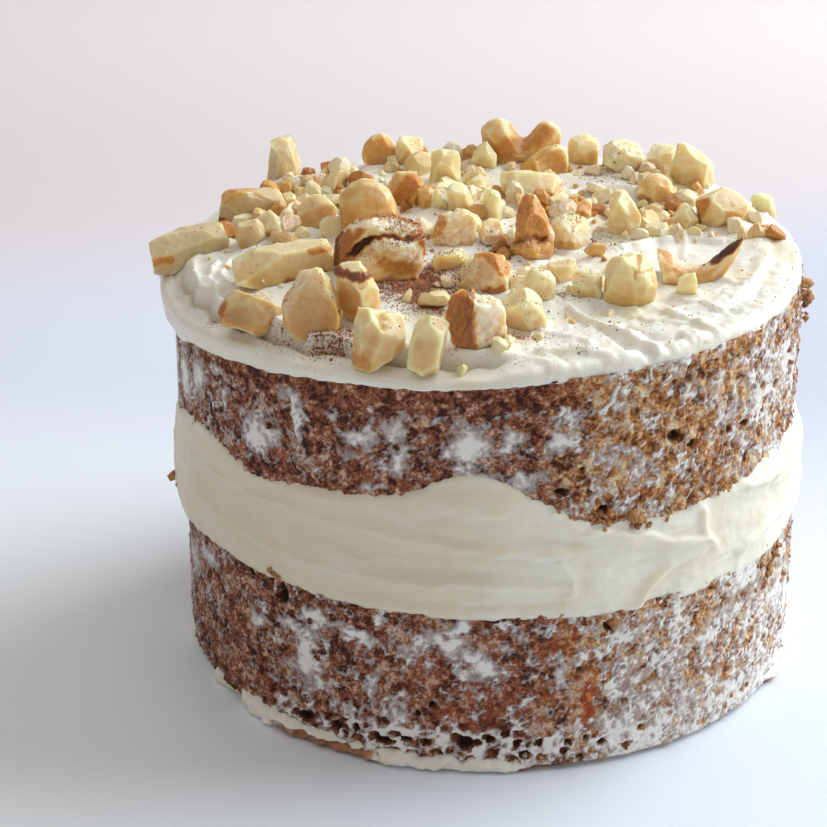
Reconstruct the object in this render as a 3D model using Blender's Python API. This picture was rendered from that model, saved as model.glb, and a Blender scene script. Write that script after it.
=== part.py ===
"""A small naked carrot cake: two rounds of sponge cut with a ring cutter, a thick cream filling,
a spread cream topping and chopped walnuts pressed into it.

Units are metres and +Z is up. The origin is the middle of the flat face that the cake stands on.
A bearing is an angle round the cake in degrees, from its front (-Y) towards its right (+X).
A share is a distance from the axis as a part of CAKE_RADIUS.
"""

import math
import random

import bmesh
import bpy
from mathutils import Matrix, Vector

MM = 0.001

# Driving dimensions
CAKE_RADIUS = 38.0 * MM
GAP = 0.3 * MM
LOWER_SPONGE_MIDDLE = 20.3 * MM
UPPER_SPONGE_BASE_MIDDLE = 32.5 * MM
UPPER_SPONGE_TOP_MIDDLE = 47.6 * MM
TOPPING_MIDDLE = 51.2 * MM
SWIRL_DEPTH = 0.5 * MM
SWIRL_TURNS = 2.4
FOOT_INSET = 1.3 * MM
WALNUT_SINK = 1.1 * MM
LOBES = 5
LOBE_DEPTH = 0.24

SEGMENTS = 60
SPONGE_EDGE_POWER = 3
TOPPING_EDGE_POWER = 10

# Half sections of the layers, from the axis out along the base and back over the top, as (part of the
# layer's radius, level).
BASE = [(0, 0), (0.6, 0), (1, 0)]
ROUND_PROFILE = BASE + [(1, 0.33), (1, 0.67), (1, 1), (0.6, 1), (0, 1)]
REBATE = 1 - FOOT_INSET / CAKE_RADIUS
LOWER_PROFILE = [(0, 0), (0.6, 0), (REBATE, 0), (REBATE, 0.5), (1, 0.5), (1, 0.75), (1, 1), (0.6, 1), (0, 1)]
ROLLED_RIM = [(1.004, 0.35), (0.998, 0.75), (0.975, 0.97)]
KNIFE_TOP = [(share, 1) for share in (0.93, 0.86, 0.78, 0.69, 0.59, 0.48, 0.36, 0.2, 0)]
TOPPING_PROFILE = BASE + ROLLED_RIM + KNIFE_TOP

COLLECTION = "carrot_cake"
CUTTERS = "carrot_cake_cutters"

# Heights in millimetres at the rim, and radii, each as (bearing, value) round the cake.
FOOT_HEIGHT = [(-90, 3.8), (-50, 3.9), (-20, 2.7), (0, 3.0), (30, 2.0), (80, 2.0), (150, 2.6), (220, 3.2)]
LOWER_TOP_EDGE = [(-90, 16.5), (-72, 18.6), (-55, 19.9), (0, 20.0), (35, 19.5), (65, 19.3), (95, 18.6),
                  (135, 19.6), (185, 20.2), (230, 18.8)]
UPPER_BASE_EDGE = [(-90, 30.2), (-80, 31.6), (-68, 33.8), (-58, 34.2), (-45, 32.5), (-30, 33.2),
                   (-15, 34.4), (-6, 37.0), (1, 37.3), (8, 35.0), (15, 32.0), (23, 30.8), (45, 30.6),
                   (62, 31.9), (90, 30.8), (130, 32.6), (180, 34.0), (225, 31.6)]
UPPER_TOP_EDGE = [(-90, 41.6), (-78, 42.8), (-60, 44.9), (-40, 46.4), (-20, 47.5), (0, 48.2), (25, 48.9),
                  (60, 49.2), (90, 48.8), (150, 47.8), (210, 46.4), (245, 43.6)]
TOPPING_RIM = [(-90, 48.9), (-60, 49.3), (-25, 49.9), (0, 50.1), (30, 50.3), (60, 50.7), (95, 50.9),
               (180, 50.5), (235, 49.7)]
FOOT_RADIUS = [(-90, 37.6), (-55, 37.9), (-38, 39.0), (-18, 38.9), (0, 38.3), (30, 38.3), (60, 38.7),
               (90, 38.5), (180, 38.2)]
LOWER_RADIUS = [(-90, 37.6), (0, 37.9), (60, 38.2), (90, 37.9), (180, 37.7)]
FILLING_RADIUS = [(-90, 38.7), (-45, 38.0), (0, 38.0), (45, 38.0), (85, 38.2), (130, 38.0), (180, 38.4)]
UPPER_RADIUS = [(-90, 38.2), (0, 38.0), (60, 37.7), (90, 37.3), (180, 37.8)]
TOPPING_RADIUS = [(-95, 39.9), (-78, 39.4), (-55, 38.6), (-25, 38.3), (0, 38.2), (20, 37.8), (45, 37.6),
                  (70, 37.0), (90, 36.8), (120, 37.4), (150, 38.0), (200, 38.8), (235, 38.4)]

# Walnut pieces: name, form, (x, y) in the cake's plan, (length, depth, height), heading, pitch and roll.
# Lengths are millimetres and angles degrees. Heading turns the length from +X towards +Y, pitch lifts
# its far end, and roll tips the piece towards its own front.
WALNUTS = [
    ("left_slab", "slab", (-36.3, -1.8), (10.4, 5.0, 3.6), 22, 3, 0),
    ("left_skin", "chunk", (-29.5, 8.5), (8.8, 5.8, 5.8), 12, 0, 0),
    ("back_left_spire", "spire", (-27.1, 25.2), (4.4, 3.9, 7.6), -12, 0, 0),
    ("left_nugget", "chunk", (-29.1, -1.5), (3.9, 3.6, 4.8), 30, 0, 10),
    ("left_crumb", "chunk", (-26.7, 0.8), (3.8, 3.2, 4.4), -20, 0, 0),
    ("left_block", "wedge", (-21.4, 4.1), (5.2, 4.3, 4.4), -6, 0, -8),
    ("big_kernel", "kernel", (-14.9, 1.5), (7.2, 5.8, 8.2), -10, 8, 0),
    ("lobed_half", "lobed", (-12.5, -13.0), (11.2, 7.8, 9.4), 8, 6, 0),
    ("long_slab", "slab", (-23.4, -12.7), (13.2, 4.4, 4.2), 24, 0, 10),
    ("front_left_wedge", "wedge", (-26.5, -24.8), (7.4, 5.0, 4.2), -12, 0, 12),
    ("front_left_kernel", "kernel", (-19.5, -27.8), (6.8, 5.6, 8.4), 10, 0, 8),
    ("leaning_slice", "slab", (-14.8, -25.6), (4.5, 3.3, 7.4), -38, 0, -14),
    ("front_facet", "chunk", (-12.3, -34.0), (6.4, 5.4, 7.0), 18, 0, 10),
    ("front_post", "slab", (-6.5, -36.2), (3.6, 2.8, 6.0), -8, -8, 8),
    ("front_brown", "wedge", (-1.8, -32.4), (6.4, 5.0, 8.0), 34, 0, 0),
    ("middle_wedge", "wedge", (-4.8, -9.2), (4.8, 3.3, 4.0), 6, 0, 0),
    ("middle_crumbly", "chunk", (-0.7, -16.3), (6.4, 5.0, 6.6), -14, 0, 8),
    ("clear_upper", "kernel", (5.6, -19.3), (3.8, 3.6, 4.6), 0, 0, 0),
    ("clear_lower", "kernel", (3.8, -27.2), (5.8, 4.5, 5.6), 20, 0, 0),
    ("orange_flake", "spire", (5.2, -5.2), (5.4, 4.1, 8.6), -16, 0, 6),
    ("white_crumbly", "chunk", (9.6, -1.6), (4.6, 4.4, 6.4), -24, 0, 0),
    ("heart", "kernel", (15.7, -19.3), (6.4, 5.0, 7.2), -6, 0, 6),
    ("curl", "curl", (24.3, -12.0), (10.2, 6.4, 6.6), -4, 0, 0),
    ("front_chip", "slab", (22.4, -17.4), (2.5, 2.1, 4.6), 14, 0, -16),
    ("right_upright", "wedge", (16.3, 2.9), (4.0, 3.8, 7.2), -8, 0, 0),
    ("right_wedge", "wedge", (23.8, 5.7), (3.8, 3.6, 4.2), -28, 0, 0),
    ("right_arch", "kernel", (28.1, 6.1), (6.8, 4.4, 5.8), -14, 10, 0),
    ("rim_block", "slab", (33.9, 12.4), (3.0, 3.0, 3.0), 20, 0, 0),
    ("back_right_spire", "spire", (25.8, 22.1), (5.9, 4.4, 7.2), -24, 0, 0),
    ("round_tan", "kernel", (20.7, 15.1), (4.6, 4.3, 4.8), 0, 0, 0),
    ("back_kernel", "kernel", (3.7, 30.0), (11.0, 6.0, 8.2), 4, 6, 0),
    ("back_orange", "slab", (7.2, 24.8), (5.8, 3.2, 4.2), 16, 8, 0),
    ("back_tan", "chunk", (12.1, 30.4), (4.0, 4.2, 5.6), 0, 0, 0),
    ("back_crumbly", "chunk", (17.2, 26.3), (5.8, 4.8, 5.8), 10, 0, 0),
    ("back_rim_crumbly", "chunk", (22.1, 26.7), (5.0, 3.9, 5.4), -30, 0, 0),
    ("back_wedge", "wedge", (-0.6, 27.2), (3.3, 3.2, 5.0), -20, 0, 0),
    ("back_pale", "wedge", (-5.9, 20.7), (3.8, 3.6, 6.8), 8, 0, 0),
    ("back_brown", "kernel", (-14.6, 29.3), (4.8, 4.3, 5.4), 12, 0, 0),
    ("back_yellow", "slab", (-10.9, 28.5), (4.3, 3.8, 5.2), -8, 0, 0),
    ("orange_slice", "slab", (-10.3, 13.0), (4.9, 3.3, 5.4), -22, 0, 10),
    ("small_sliver", "spire", (-6.4, 9.9), (2.5, 2.2, 4.4), 10, 0, 0),
    ("middle_pale", "chunk", (-3.7, 9.7), (3.4, 3.3, 5.2), -10, 0, 0),
    ("white_sliver", "slab", (0.0, 7.7), (3.2, 2.1, 5.3), -30, 0, 0),
    ("pink_crumbly", "chunk", (-4.3, -1.3), (5.7, 4.4, 5.6), 6, 0, 0),
    ("centre_crumbly", "chunk", (0.2, -0.8), (3.8, 3.6, 4.4), 24, 0, 0),
    ("back_middle_pale", "wedge", (4.8, 14.8), (7.2, 4.2, 4.8), -8, 0, 0),
    ("small_tan", "chunk", (10.7, 7.8), (3.5, 3.2, 3.9), 0, 0, 0),
    ("right_flat", "slab", (11.1, -18.7), (3.7, 3.6, 3.8), -12, 0, 0),
    ("flat_brown", "slab", (-20.7, 27.9), (4.0, 2.8, 2.2), 6, 0, 0),
    ("dusted_yellow", "chunk", (8.4, -13.6), (3.6, 3.3, 4.4), 16, 0, 0),
]
BROWN_WALNUTS = {"left_skin", "big_kernel", "lobed_half", "front_brown", "orange_flake", "back_kernel",
                 "back_orange", "back_brown", "orange_slice", "flat_brown", "right_arch", "curl"}

# How each form is cut, in a piece's own half sizes: how far the rounded blank reaches past the box,
# whether the box's sides are cut flat, how many corners are broken off, and how steep its top slopes.
FORMS = {
    "slab": {"blank": 1.50, "sides": True, "corners": 3, "slope": 0.0},
    "wedge": {"blank": 1.40, "sides": True, "corners": 2, "slope": 0.75},
    "chunk": {"blank": 1.25, "sides": True, "corners": 4, "slope": 0.25},
    "kernel": {"blank": 1.06, "sides": False, "corners": 3, "slope": 0.0},
    "lobed": {"blank": 1.0, "sides": False, "corners": 1, "slope": 0.0},
    "spire": {"blank": 1.35, "sides": True, "corners": 2, "slope": 1.30},
}


def around(points, bearing):
    """The value at a bearing of a smooth closed curve through (bearing, value) points."""
    bearings = [b for b, _ in points]
    bearing = bearings[0] + (bearing - bearings[0]) % 360
    count = len(points)
    i = max(k for k in range(count) if bearings[k] <= bearing + 1e-9)
    near = []
    for k in (i - 1, i, i + 1, i + 2):
        turns, index = divmod(k, count)
        near.append((points[index][0] + 360 * turns, points[index][1]))
    (b0, v0), (b1, v1), (b2, v2), (b3, v3) = near
    span = b2 - b1
    t = (bearing - b1) / span
    start = (v2 - v0) / (b2 - b0) * span
    end = (v3 - v1) / (b3 - b1) * span
    rise = v2 - v1
    return v1 + t * (start + t * (3 * rise - 2 * start - end + t * (start + end - 2 * rise)))


def surface(edge, middle, power=SPONGE_EDGE_POWER):
    """A height over the cake's plan that runs from middle at the axis to edge(bearing) at the rim."""
    return lambda bearing, share: middle + (around(edge, bearing) * MM - middle) * share**power


lower_top = surface(LOWER_TOP_EDGE, LOWER_SPONGE_MIDDLE)
upper_base = surface(UPPER_BASE_EDGE, UPPER_SPONGE_BASE_MIDDLE)
upper_top = surface(UPPER_TOP_EDGE, UPPER_SPONGE_TOP_MIDDLE)
crown = surface(TOPPING_RIM, TOPPING_MIDDLE, TOPPING_EDGE_POWER)


def topping_top(bearing, share):
    """The spread cream's top: a low crown with one spiral ridge that a palette knife leaves."""
    ridge = math.sin(2 * math.pi * (SWIRL_TURNS * share + bearing / 360))
    fade = share * (1 - share**6)
    return crown(bearing, share) + SWIRL_DEPTH * ridge * fade


def raised(height):
    """The same surface, a gap higher."""
    return lambda bearing, share: height(bearing, share) + GAP


def between(low, high):
    """The height at a level that runs from 0 at one surface to 1 at another."""
    return lambda bearing, share, level: (1 - level) * low(bearing, share) + level * high(bearing, share)


def lower_height(bearing, share, level):
    """The lower round: level 0.5 is the ledge of the rebate that the foot's cream fills."""
    ledge = around(FOOT_HEIGHT, bearing) * MM + GAP
    if level <= 0.5:
        return 2 * level * ledge
    return ledge + (2 * level - 1) * (lower_top(bearing, share) - ledge)


def flush(points):
    """The radius of a round whose side is upright."""
    return lambda bearing, level: around(points, bearing) * MM


def bulged(foot, belly, brow):
    """The radius of soft cream that meets its neighbours at foot and brow and swells or shrinks between."""
    def radius(bearing, level):
        nearer = foot if level < 0.5 else brow
        away = min(1, 3 * min(level, 1 - level))
        return (around(nearer, bearing) * (1 - away) + around(belly, bearing) * away) * MM
    return radius


topping_radius = bulged(UPPER_RADIUS, TOPPING_RADIUS, TOPPING_RADIUS)


def collection(name):
    made = bpy.data.collections.new(name)
    bpy.context.scene.collection.children.link(made)
    return made


def material(name, color, roughness):
    made = bpy.data.materials.new(name)
    made.use_nodes = True
    shader = made.node_tree.nodes["Principled BSDF"]
    shader.inputs["Base Color"].default_value = (*color, 1.0)
    shader.inputs["Roughness"].default_value = roughness
    shader.inputs["Metallic"].default_value = 0.0
    return made


def add_object(name, bm, into, look=None):
    mesh = bpy.data.meshes.new(name)
    bm.to_mesh(mesh)
    bm.free()
    made = bpy.data.objects.new(name, mesh)
    into.objects.link(made)
    if look:
        mesh.materials.append(look)
    return made


def spun(profile, closed):
    """A bmesh of the profile's (share, level) points turned once round the axis."""
    bm = bmesh.new()
    verts = [bm.verts.new((share, 0, level)) for share, level in profile]
    edges = [bm.edges.new(pair) for pair in zip(verts, verts[1:])]
    if closed:
        edges.append(bm.edges.new((verts[-1], verts[0])))
    bmesh.ops.spin(bm, geom=verts + edges, cent=(0, 0, 0), axis=(0, 0, 1), dvec=(0, 0, 0),
                   angle=2 * math.pi, steps=SEGMENTS, use_merge=True)
    bmesh.ops.remove_doubles(bm, verts=bm.verts, dist=1e-5)
    return bm


def finish_solid(bm):
    bmesh.ops.triangulate(bm, faces=bm.faces)
    bmesh.ops.recalc_face_normals(bm, faces=bm.faces)


def around_axis(reach, bearing, height):
    turn = math.radians(bearing)
    return Vector((reach * math.sin(turn), -reach * math.cos(turn), height))


def bearing_of(point):
    return math.degrees(math.atan2(point.x, -point.y))


def share_of(reach):
    return min(1, reach / CAKE_RADIUS)


def layer(name, look, into, profile, height, radius):
    """One layer of the cake: its profile spun round the axis and sized at each bearing."""
    bm = spun(profile, closed=False)
    for v in bm.verts:
        level, bearing = v.co.z, bearing_of(v.co)
        reach = v.co.xy.length * radius(bearing, level)
        v.co = around_axis(reach, bearing, height(bearing, share_of(reach), level))
    finish_solid(bm)
    return add_object(name, bm, into, look)


def cream_foot(look, into):
    """The ring of cream that a scraper pushes down to the plate, in the lower sponge's rebate."""
    profile = [(0, 0), (1, 0), (0.9, 0.5), (0.55, 1), (0, 1)]
    bm = spun([(1 + across, level) for across, level in profile], closed=True)
    for v in bm.verts:
        across, level, bearing = v.co.xy.length - 1, v.co.z, bearing_of(v.co)
        inner = around(LOWER_RADIUS, bearing) * MM * REBATE + GAP
        outer = around(FOOT_RADIUS, bearing) * MM
        height = level * around(FOOT_HEIGHT, bearing) * MM
        v.co = around_axis(inner + across * (outer - inner), bearing, height)
    finish_solid(bm)
    return add_object("cream_foot", bm, into, look)


def cake_layers(sponge, cream, into):
    """The cake from its foot up, each layer a gap above the one below."""
    layer("lower_sponge", sponge, into, LOWER_PROFILE, lower_height, flush(LOWER_RADIUS))
    cream_foot(cream, into)
    layer("cream_filling", cream, into, ROUND_PROFILE, between(raised(lower_top), upper_base),
          bulged(LOWER_RADIUS, FILLING_RADIUS, UPPER_RADIUS))
    layer("upper_sponge", sponge, into, ROUND_PROFILE, between(raised(upper_base), upper_top),
          flush(UPPER_RADIUS))
    layer("cream_topping", cream, into, TOPPING_PROFILE, between(raised(upper_top), topping_top),
          topping_radius)


def cut_back(bm, cuts, merge):
    """Takes off a convex solid what lies on the outer side of each (point, normal) plane."""
    for point, normal in cuts:
        geom = bm.verts[:] + bm.edges[:] + bm.faces[:]
        cut = bmesh.ops.bisect_plane(bm, geom=geom, dist=merge / 10, plane_co=point, plane_no=normal,
                                     clear_outer=True)
        rim = [e for e in cut["geom_cut"] if isinstance(e, bmesh.types.BMEdge)]
        bmesh.ops.holes_fill(bm, edges=rim)
    bmesh.ops.remove_doubles(bm, verts=bm.verts, dist=merge)
    bmesh.ops.dissolve_degenerate(bm, edges=bm.edges, dist=merge / 10)


def blank_cuts(form, rng):
    """(point, normal) of each plane that shapes a piece inside the box from -1 to 1."""
    cuts = []
    if form["sides"]:
        for axis in range(3):
            for sign in (-1, 1):
                normal = Vector([rng.uniform(-0.16, 0.16) for _ in range(3)])
                normal[axis] = sign
                cuts.append((normal.normalized() * rng.uniform(0.90, 1.0), normal))
    if form["slope"]:
        turn = rng.uniform(0, 2 * math.pi)
        for side in (0, math.pi) if form["slope"] > 1 else (0,):
            lean = form["slope"] * rng.uniform(0.8, 1.1)
            normal = Vector((math.cos(turn + side) * lean, math.sin(turn + side) * lean, 1)).normalized()
            cuts.append((normal * rng.uniform(0.62, 0.74), normal))
    for _ in range(form["corners"]):
        normal = Vector([rng.choice((-1, 1)) * rng.uniform(0.35, 1.0) for _ in range(3)])
        reach = sum(abs(c) for c in normal) / normal.length
        cuts.append((normal.normalized() * reach * rng.uniform(0.58, 0.70), normal))
    return cuts


def blank(form_name, rng):
    """A piece in its own half sizes: a rounded blank with flat cleaved faces."""
    form = FORMS[form_name]
    lobed = form_name == "lobed"
    bm = bmesh.new()
    bmesh.ops.create_icosphere(bm, subdivisions=3 if lobed else 2, radius=form["blank"])
    if lobed:
        for v in bm.verts:
            fold = math.cos(LOBES * math.atan2(v.co.z, v.co.y) + 2.5 * v.co.x)
            v.co *= 1 - LOBE_DEPTH * (0.5 + 0.5 * fold)
    cut_back(bm, blank_cuts(form, rng), merge=0.12 if lobed else 0.27)
    return bm


def curl_blank():
    """A bent flake in half sizes: a thick arched end, then a thin blade that rises to a point."""
    bm = bmesh.new()
    stations, sides = 9, 8
    rings = []
    for i in range(stations):
        t = i / (stations - 1)
        along = -0.85 + 1.8 * t
        middle = -0.35 + 0.3 * math.cos(2 * math.pi * t) + 1.1 * t**2.2
        tall = 0.55 * (1 - t) ** 0.7 + 0.06
        wide = 0.80 * (1 - t) ** 0.5 + 0.10
        turns = [2 * math.pi * k / sides for k in range(sides)]
        rings.append([bm.verts.new((along - 0.25 * tall * math.sin(a), wide * math.cos(a),
                                    middle + tall * math.sin(a))) for a in turns])
    for first, second in zip(rings, rings[1:]):
        for k in range(sides):
            n = (k + 1) % sides
            bm.faces.new((first[k], first[n], second[n], second[k]))
    bm.faces.new(rings[0])
    bm.faces.new(rings[-1])
    finish_solid(bm)
    return bm


class Walnut:
    """One piece: its shape in half sizes, and where it lies."""

    def __init__(self, row, seed):
        self.name, self.form, plan, size, heading, pitch, roll = row
        self.half = Vector(size) * MM / 2
        self.bm = curl_blank() if self.form == "curl" else blank(self.form, random.Random(seed))
        self.turn = (Matrix.Rotation(math.radians(heading), 4, "Z")
                     @ Matrix.Rotation(math.radians(-pitch), 4, "Y")
                     @ Matrix.Rotation(math.radians(-roll), 4, "X"))
        self.centre = Vector((*plan, 0)) * MM
        cream = topping_top(bearing_of(self.centre), share_of(self.centre.length))
        lowest = min(p.z for p in self.points())
        self.centre.z = cream - WALNUT_SINK - lowest
        self.cuts = []

    def where(self, co):
        return self.centre + self.turn @ Vector([c * h for c, h in zip(co, self.half)])

    def points(self):
        return [self.where(v.co) for v in self.bm.verts]

    def placed(self):
        """The piece as a bmesh where it lies, trimmed by its neighbours."""
        bm = self.bm.copy()
        for v in bm.verts:
            v.co = self.where(v.co)
        cut_back(bm, self.cuts, 0.05 * MM)
        finish_solid(bm)
        return bm


def trim_apart(walnuts):
    """Gives each two pieces that would touch a plane halfway between them, and cuts both back from it."""
    for i, a in enumerate(walnuts):
        for b in walnuts[i + 1:]:
            line = b.centre - a.centre
            if line.length > a.half.length + b.half.length:
                continue
            flat = Vector((line.x, line.y, 0))
            ways = [facing(a, b, n.normalized()) for n in (line, flat)]
            overlap, normal, middle = min(ways, key=lambda way: way[0])
            if overlap > -GAP:
                a.cuts.append((middle - normal * GAP / 2, normal))
                b.cuts.append((middle + normal * GAP / 2, -normal))


def facing(a, b, normal):
    """How far two pieces overlap along a normal, the normal, and the point halfway through the overlap."""
    end = max(p.dot(normal) for p in a.points())
    start = min(p.dot(normal) for p in b.points())
    foot = a.centre - normal * a.centre.dot(normal)
    return end - start, normal, foot + normal * (start + end) / 2


def seat_on_cream(walnuts, cutter):
    """Cuts each walnut's underside to the cream that it is pressed into, a gap above it."""
    cutter.hide_render = True
    cutter.display_type = "WIRE"
    for walnut in walnuts:
        cut = walnut.modifiers.new("seat", "BOOLEAN")
        cut.operation = "DIFFERENCE"
        cut.solver = "EXACT"
        cut.object = cutter


def main():
    for old in list(bpy.data.objects):
        bpy.data.objects.remove(old)
    cake, cutters = collection(COLLECTION), collection(CUTTERS)
    sponge = material("sponge", (0.26, 0.12, 0.055), 0.85)
    cream = material("cream", (0.86, 0.82, 0.66), 0.45)
    pale = material("walnut_flesh", (0.78, 0.62, 0.34), 0.55)
    brown = material("walnut_skin", (0.42, 0.20, 0.07), 0.5)
    cake_layers(sponge, cream, cake)
    walnuts = [Walnut(row, seed) for seed, row in enumerate(WALNUTS)]
    trim_apart(walnuts)
    solids = [add_object("walnut_" + w.name, w.placed(), cake, brown if w.name in BROWN_WALNUTS else pale)
              for w in walnuts]
    seat = layer("cream_seat", None, cutters, TOPPING_PROFILE, between(upper_top, raised(topping_top)),
                 lambda bearing, level: topping_radius(bearing, level) + GAP)
    seat_on_cream(solids, seat)


main()
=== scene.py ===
"""The looks of the small carrot cake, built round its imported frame.

Shapes are worked out in millimetres as numpy arrays and written to meshes in metres. A bearing is an
angle round the cake in degrees, from its front (-Y) towards its right (+X). Every layer of the frame
is replaced by a finely modelled mesh of the same outline: the sponges with torn crumb and the cream
that is scraped into it, the cream with the marks of the palette knife, and each walnut piece by a
broken, cleaved one.
"""

import math

import bmesh
import bpy
import numpy as np
from mathutils import Matrix, Vector
from mathutils.bvhtree import BVHTree


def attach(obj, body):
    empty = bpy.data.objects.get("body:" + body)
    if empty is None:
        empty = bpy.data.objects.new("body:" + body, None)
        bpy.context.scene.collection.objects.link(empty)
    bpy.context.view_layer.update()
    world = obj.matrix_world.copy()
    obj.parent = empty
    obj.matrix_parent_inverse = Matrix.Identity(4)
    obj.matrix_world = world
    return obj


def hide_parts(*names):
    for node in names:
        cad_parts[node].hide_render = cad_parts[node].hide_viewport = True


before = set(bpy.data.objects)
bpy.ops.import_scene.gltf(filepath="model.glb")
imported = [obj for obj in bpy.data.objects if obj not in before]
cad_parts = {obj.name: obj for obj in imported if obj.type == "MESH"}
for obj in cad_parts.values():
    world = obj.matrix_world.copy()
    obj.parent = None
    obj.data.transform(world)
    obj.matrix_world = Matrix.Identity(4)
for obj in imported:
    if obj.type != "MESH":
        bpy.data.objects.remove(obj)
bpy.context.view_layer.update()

MM = 0.001
LATTICE = 40
CAD_SEGMENTS = 60
BURY = 0.9


# ---------------------------------------------------------------- noise and curves

def noise(points, cell, seed, stretch=(1, 1, 1)):
    """Smooth noise from about -1 to 1 at (n, 3) points, with bumps one cell across."""
    table = np.random.default_rng(seed).normal(size=(LATTICE, LATTICE, LATTICE, 3))
    table /= np.linalg.norm(table, axis=-1, keepdims=True)
    places = points / (cell * np.array(stretch))
    base = np.floor(places).astype(int)
    part = places - base
    ease = part**3 * (part * (part * 6 - 15) + 10)
    total = np.zeros(len(points))
    for corner in np.ndindex(2, 2, 2):
        at = tuple(((base + corner) % LATTICE).T)
        weight = np.prod(np.where(corner, ease, 1 - ease), axis=1)
        total += weight * ((part - corner) * table[at]).sum(axis=1)
    return total * 1.7


def crumbs(points, cell, seed, stretch=(1, 1, 1)):
    """How far each point is from the nearest and next nearest of one random point a cell, in cells,
    and a random value from 0 to 1 that belongs to the nearest."""
    rng = np.random.default_rng(seed)
    jitter = rng.random((LATTICE, LATTICE, LATTICE, 3))
    values = rng.random((LATTICE, LATTICE, LATTICE))
    places = points / (cell * np.array(stretch))
    base = np.floor(places).astype(int)
    first = np.full(len(points), 9.0)
    second = np.full(len(points), 9.0)
    value = np.zeros(len(points))
    for shift in np.ndindex(3, 3, 3):
        at = base + np.array(shift) - 1
        key = tuple((at % LATTICE).T)
        gap = np.linalg.norm(at + jitter[key] - places, axis=1)
        nearer = gap < first
        second = np.where(nearer, first, np.minimum(second, gap))
        value = np.where(nearer, values[key], value)
        first = np.minimum(first, gap)
    return first, second, value


def splinters(points, cell, seed):
    """The height of a field of sharp-edged splinters, from 0 to 1."""
    rng = np.random.default_rng(seed)
    sides = rng.normal(size=(5, 3))
    sides /= np.linalg.norm(sides, axis=1)[:, None]
    jitter = rng.random((LATTICE, LATTICE, LATTICE, 3))
    places = points / cell + 0.25 * np.stack([noise(points, cell * 1.5, seed + k) for k in range(3)], axis=-1)
    base = np.floor(places).astype(int)
    nearest = np.full(len(points), 9.0)
    for shift in np.ndindex(3, 3, 3):
        at = base + np.array(shift) - 1
        away = at + jitter[tuple((at % LATTICE).T)] - places
        nearest = np.minimum(nearest, np.abs(away @ sides.T).max(axis=1))
    return np.clip(1 - nearest / 0.6, 0, 1)


def smooth_step(low, high, value):
    """0 below low, 1 above high, and a smooth rise between."""
    part = np.clip((value - low) / (high - low), 0, 1)
    return part * part * (3 - 2 * part)


def dome(distance, width=0.8):
    return np.clip(1 - (distance / width) ** 2, 0, 1)


def even_curve(values):
    """A smooth closed function of the bearing through values at even steps of it."""
    values = np.asarray(values, float)
    count = len(values)

    def at(bearing):
        place = np.asarray(bearing) / 360 * count
        i = np.floor(place).astype(int)
        t = place - i
        a, b, c, d = (values[(i + k) % count] for k in (-1, 0, 1, 2))
        return b + 0.5 * t * (c - a + t * (2 * a - 5 * b + 4 * c - d + t * (3 * (b - c) + d - a)))

    return at


def turn_between(a, b):
    """The difference of two bearings, from -180 to 180."""
    return (a - b + 180) % 360 - 180


def window(bearing, start, end, soft):
    """1 between two bearings, falling to 0 over soft degrees outside them."""
    middle, half = (start + end) / 2, (end - start) / 2
    return 1 - smooth_step(half, half + soft, np.abs(turn_between(bearing, middle)))


def polar(bearing, reach, height):
    turn = np.radians(bearing)
    return np.stack(np.broadcast_arrays(reach * np.sin(turn), -reach * np.cos(turn), height), axis=-1)


def from_line(xy, corners):
    """How far each place is from a line of straight runs: below 0 on the left of its way along."""
    nearest = np.full(len(xy), 99.0)
    for a, b in zip(corners, corners[1:]):
        a, b = np.array(a, float), np.array(b, float)
        run, away = b - a, xy - a
        along = np.clip(away @ run / (run @ run), 0, 1)
        gap = np.linalg.norm(away - along[:, None] * run, axis=1)
        side = np.where(away[:, 1] * run[0] - away[:, 0] * run[1] > 0, -1, 1)
        nearest = np.where(gap < np.abs(nearest), gap * side, nearest)
    return nearest


def stroke(xy, corners, width, tall):
    """The ridge that the palette knife leaves along a line: it rises gently from the left over the
    width and drops quickly on the right. A hollow, which is below 0, is even on both sides."""
    gap = from_line(xy, corners) / width
    if tall > 0:
        gap = np.where(gap > 0, gap * 2.6, gap)
    return tall * np.exp(-gap**2)


def creases(points, cell, seed, stretch=(1, 1, 1)):
    """Noise with sharp crests, from 0 to 1."""
    return np.clip(1 - 1.6 * np.abs(noise(points, cell, seed, stretch)), 0, 1) ** 2


# ---------------------------------------------------------------- the frame's outlines

def rim_of(node, pick):
    """The (radius, height) round a CAD layer of the outer corner that pick chooses, as two curves."""
    co = np.array([v.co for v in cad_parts[node].data.vertices]) / MM
    reach = np.hypot(co[:, 0], co[:, 1])
    bearing = np.degrees(np.arctan2(co[:, 0], -co[:, 1]))
    index = np.round(bearing / 360 * CAD_SEGMENTS).astype(int) % CAD_SEGMENTS
    radii, heights = [], []
    for k in range(CAD_SEGMENTS):
        here = index == k
        outer = here & (reach > 0.96 * reach[here].max())
        chosen = np.flatnonzero(outer)[pick(reach[outer], co[outer, 2])]
        radii.append(reach[chosen])
        heights.append(co[chosen, 2])
    return even_curve(radii), even_curve(heights)


def top_corner(reach, height):
    return int(np.argmax(height))


def base_corner(reach, height):
    return int(np.argmin(height))


def belly(reach, height):
    return int(np.argmin(np.abs(height - (height.min() + height.max()) / 2)))


def widest(reach, height):
    return int(np.argmax(reach))


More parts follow.
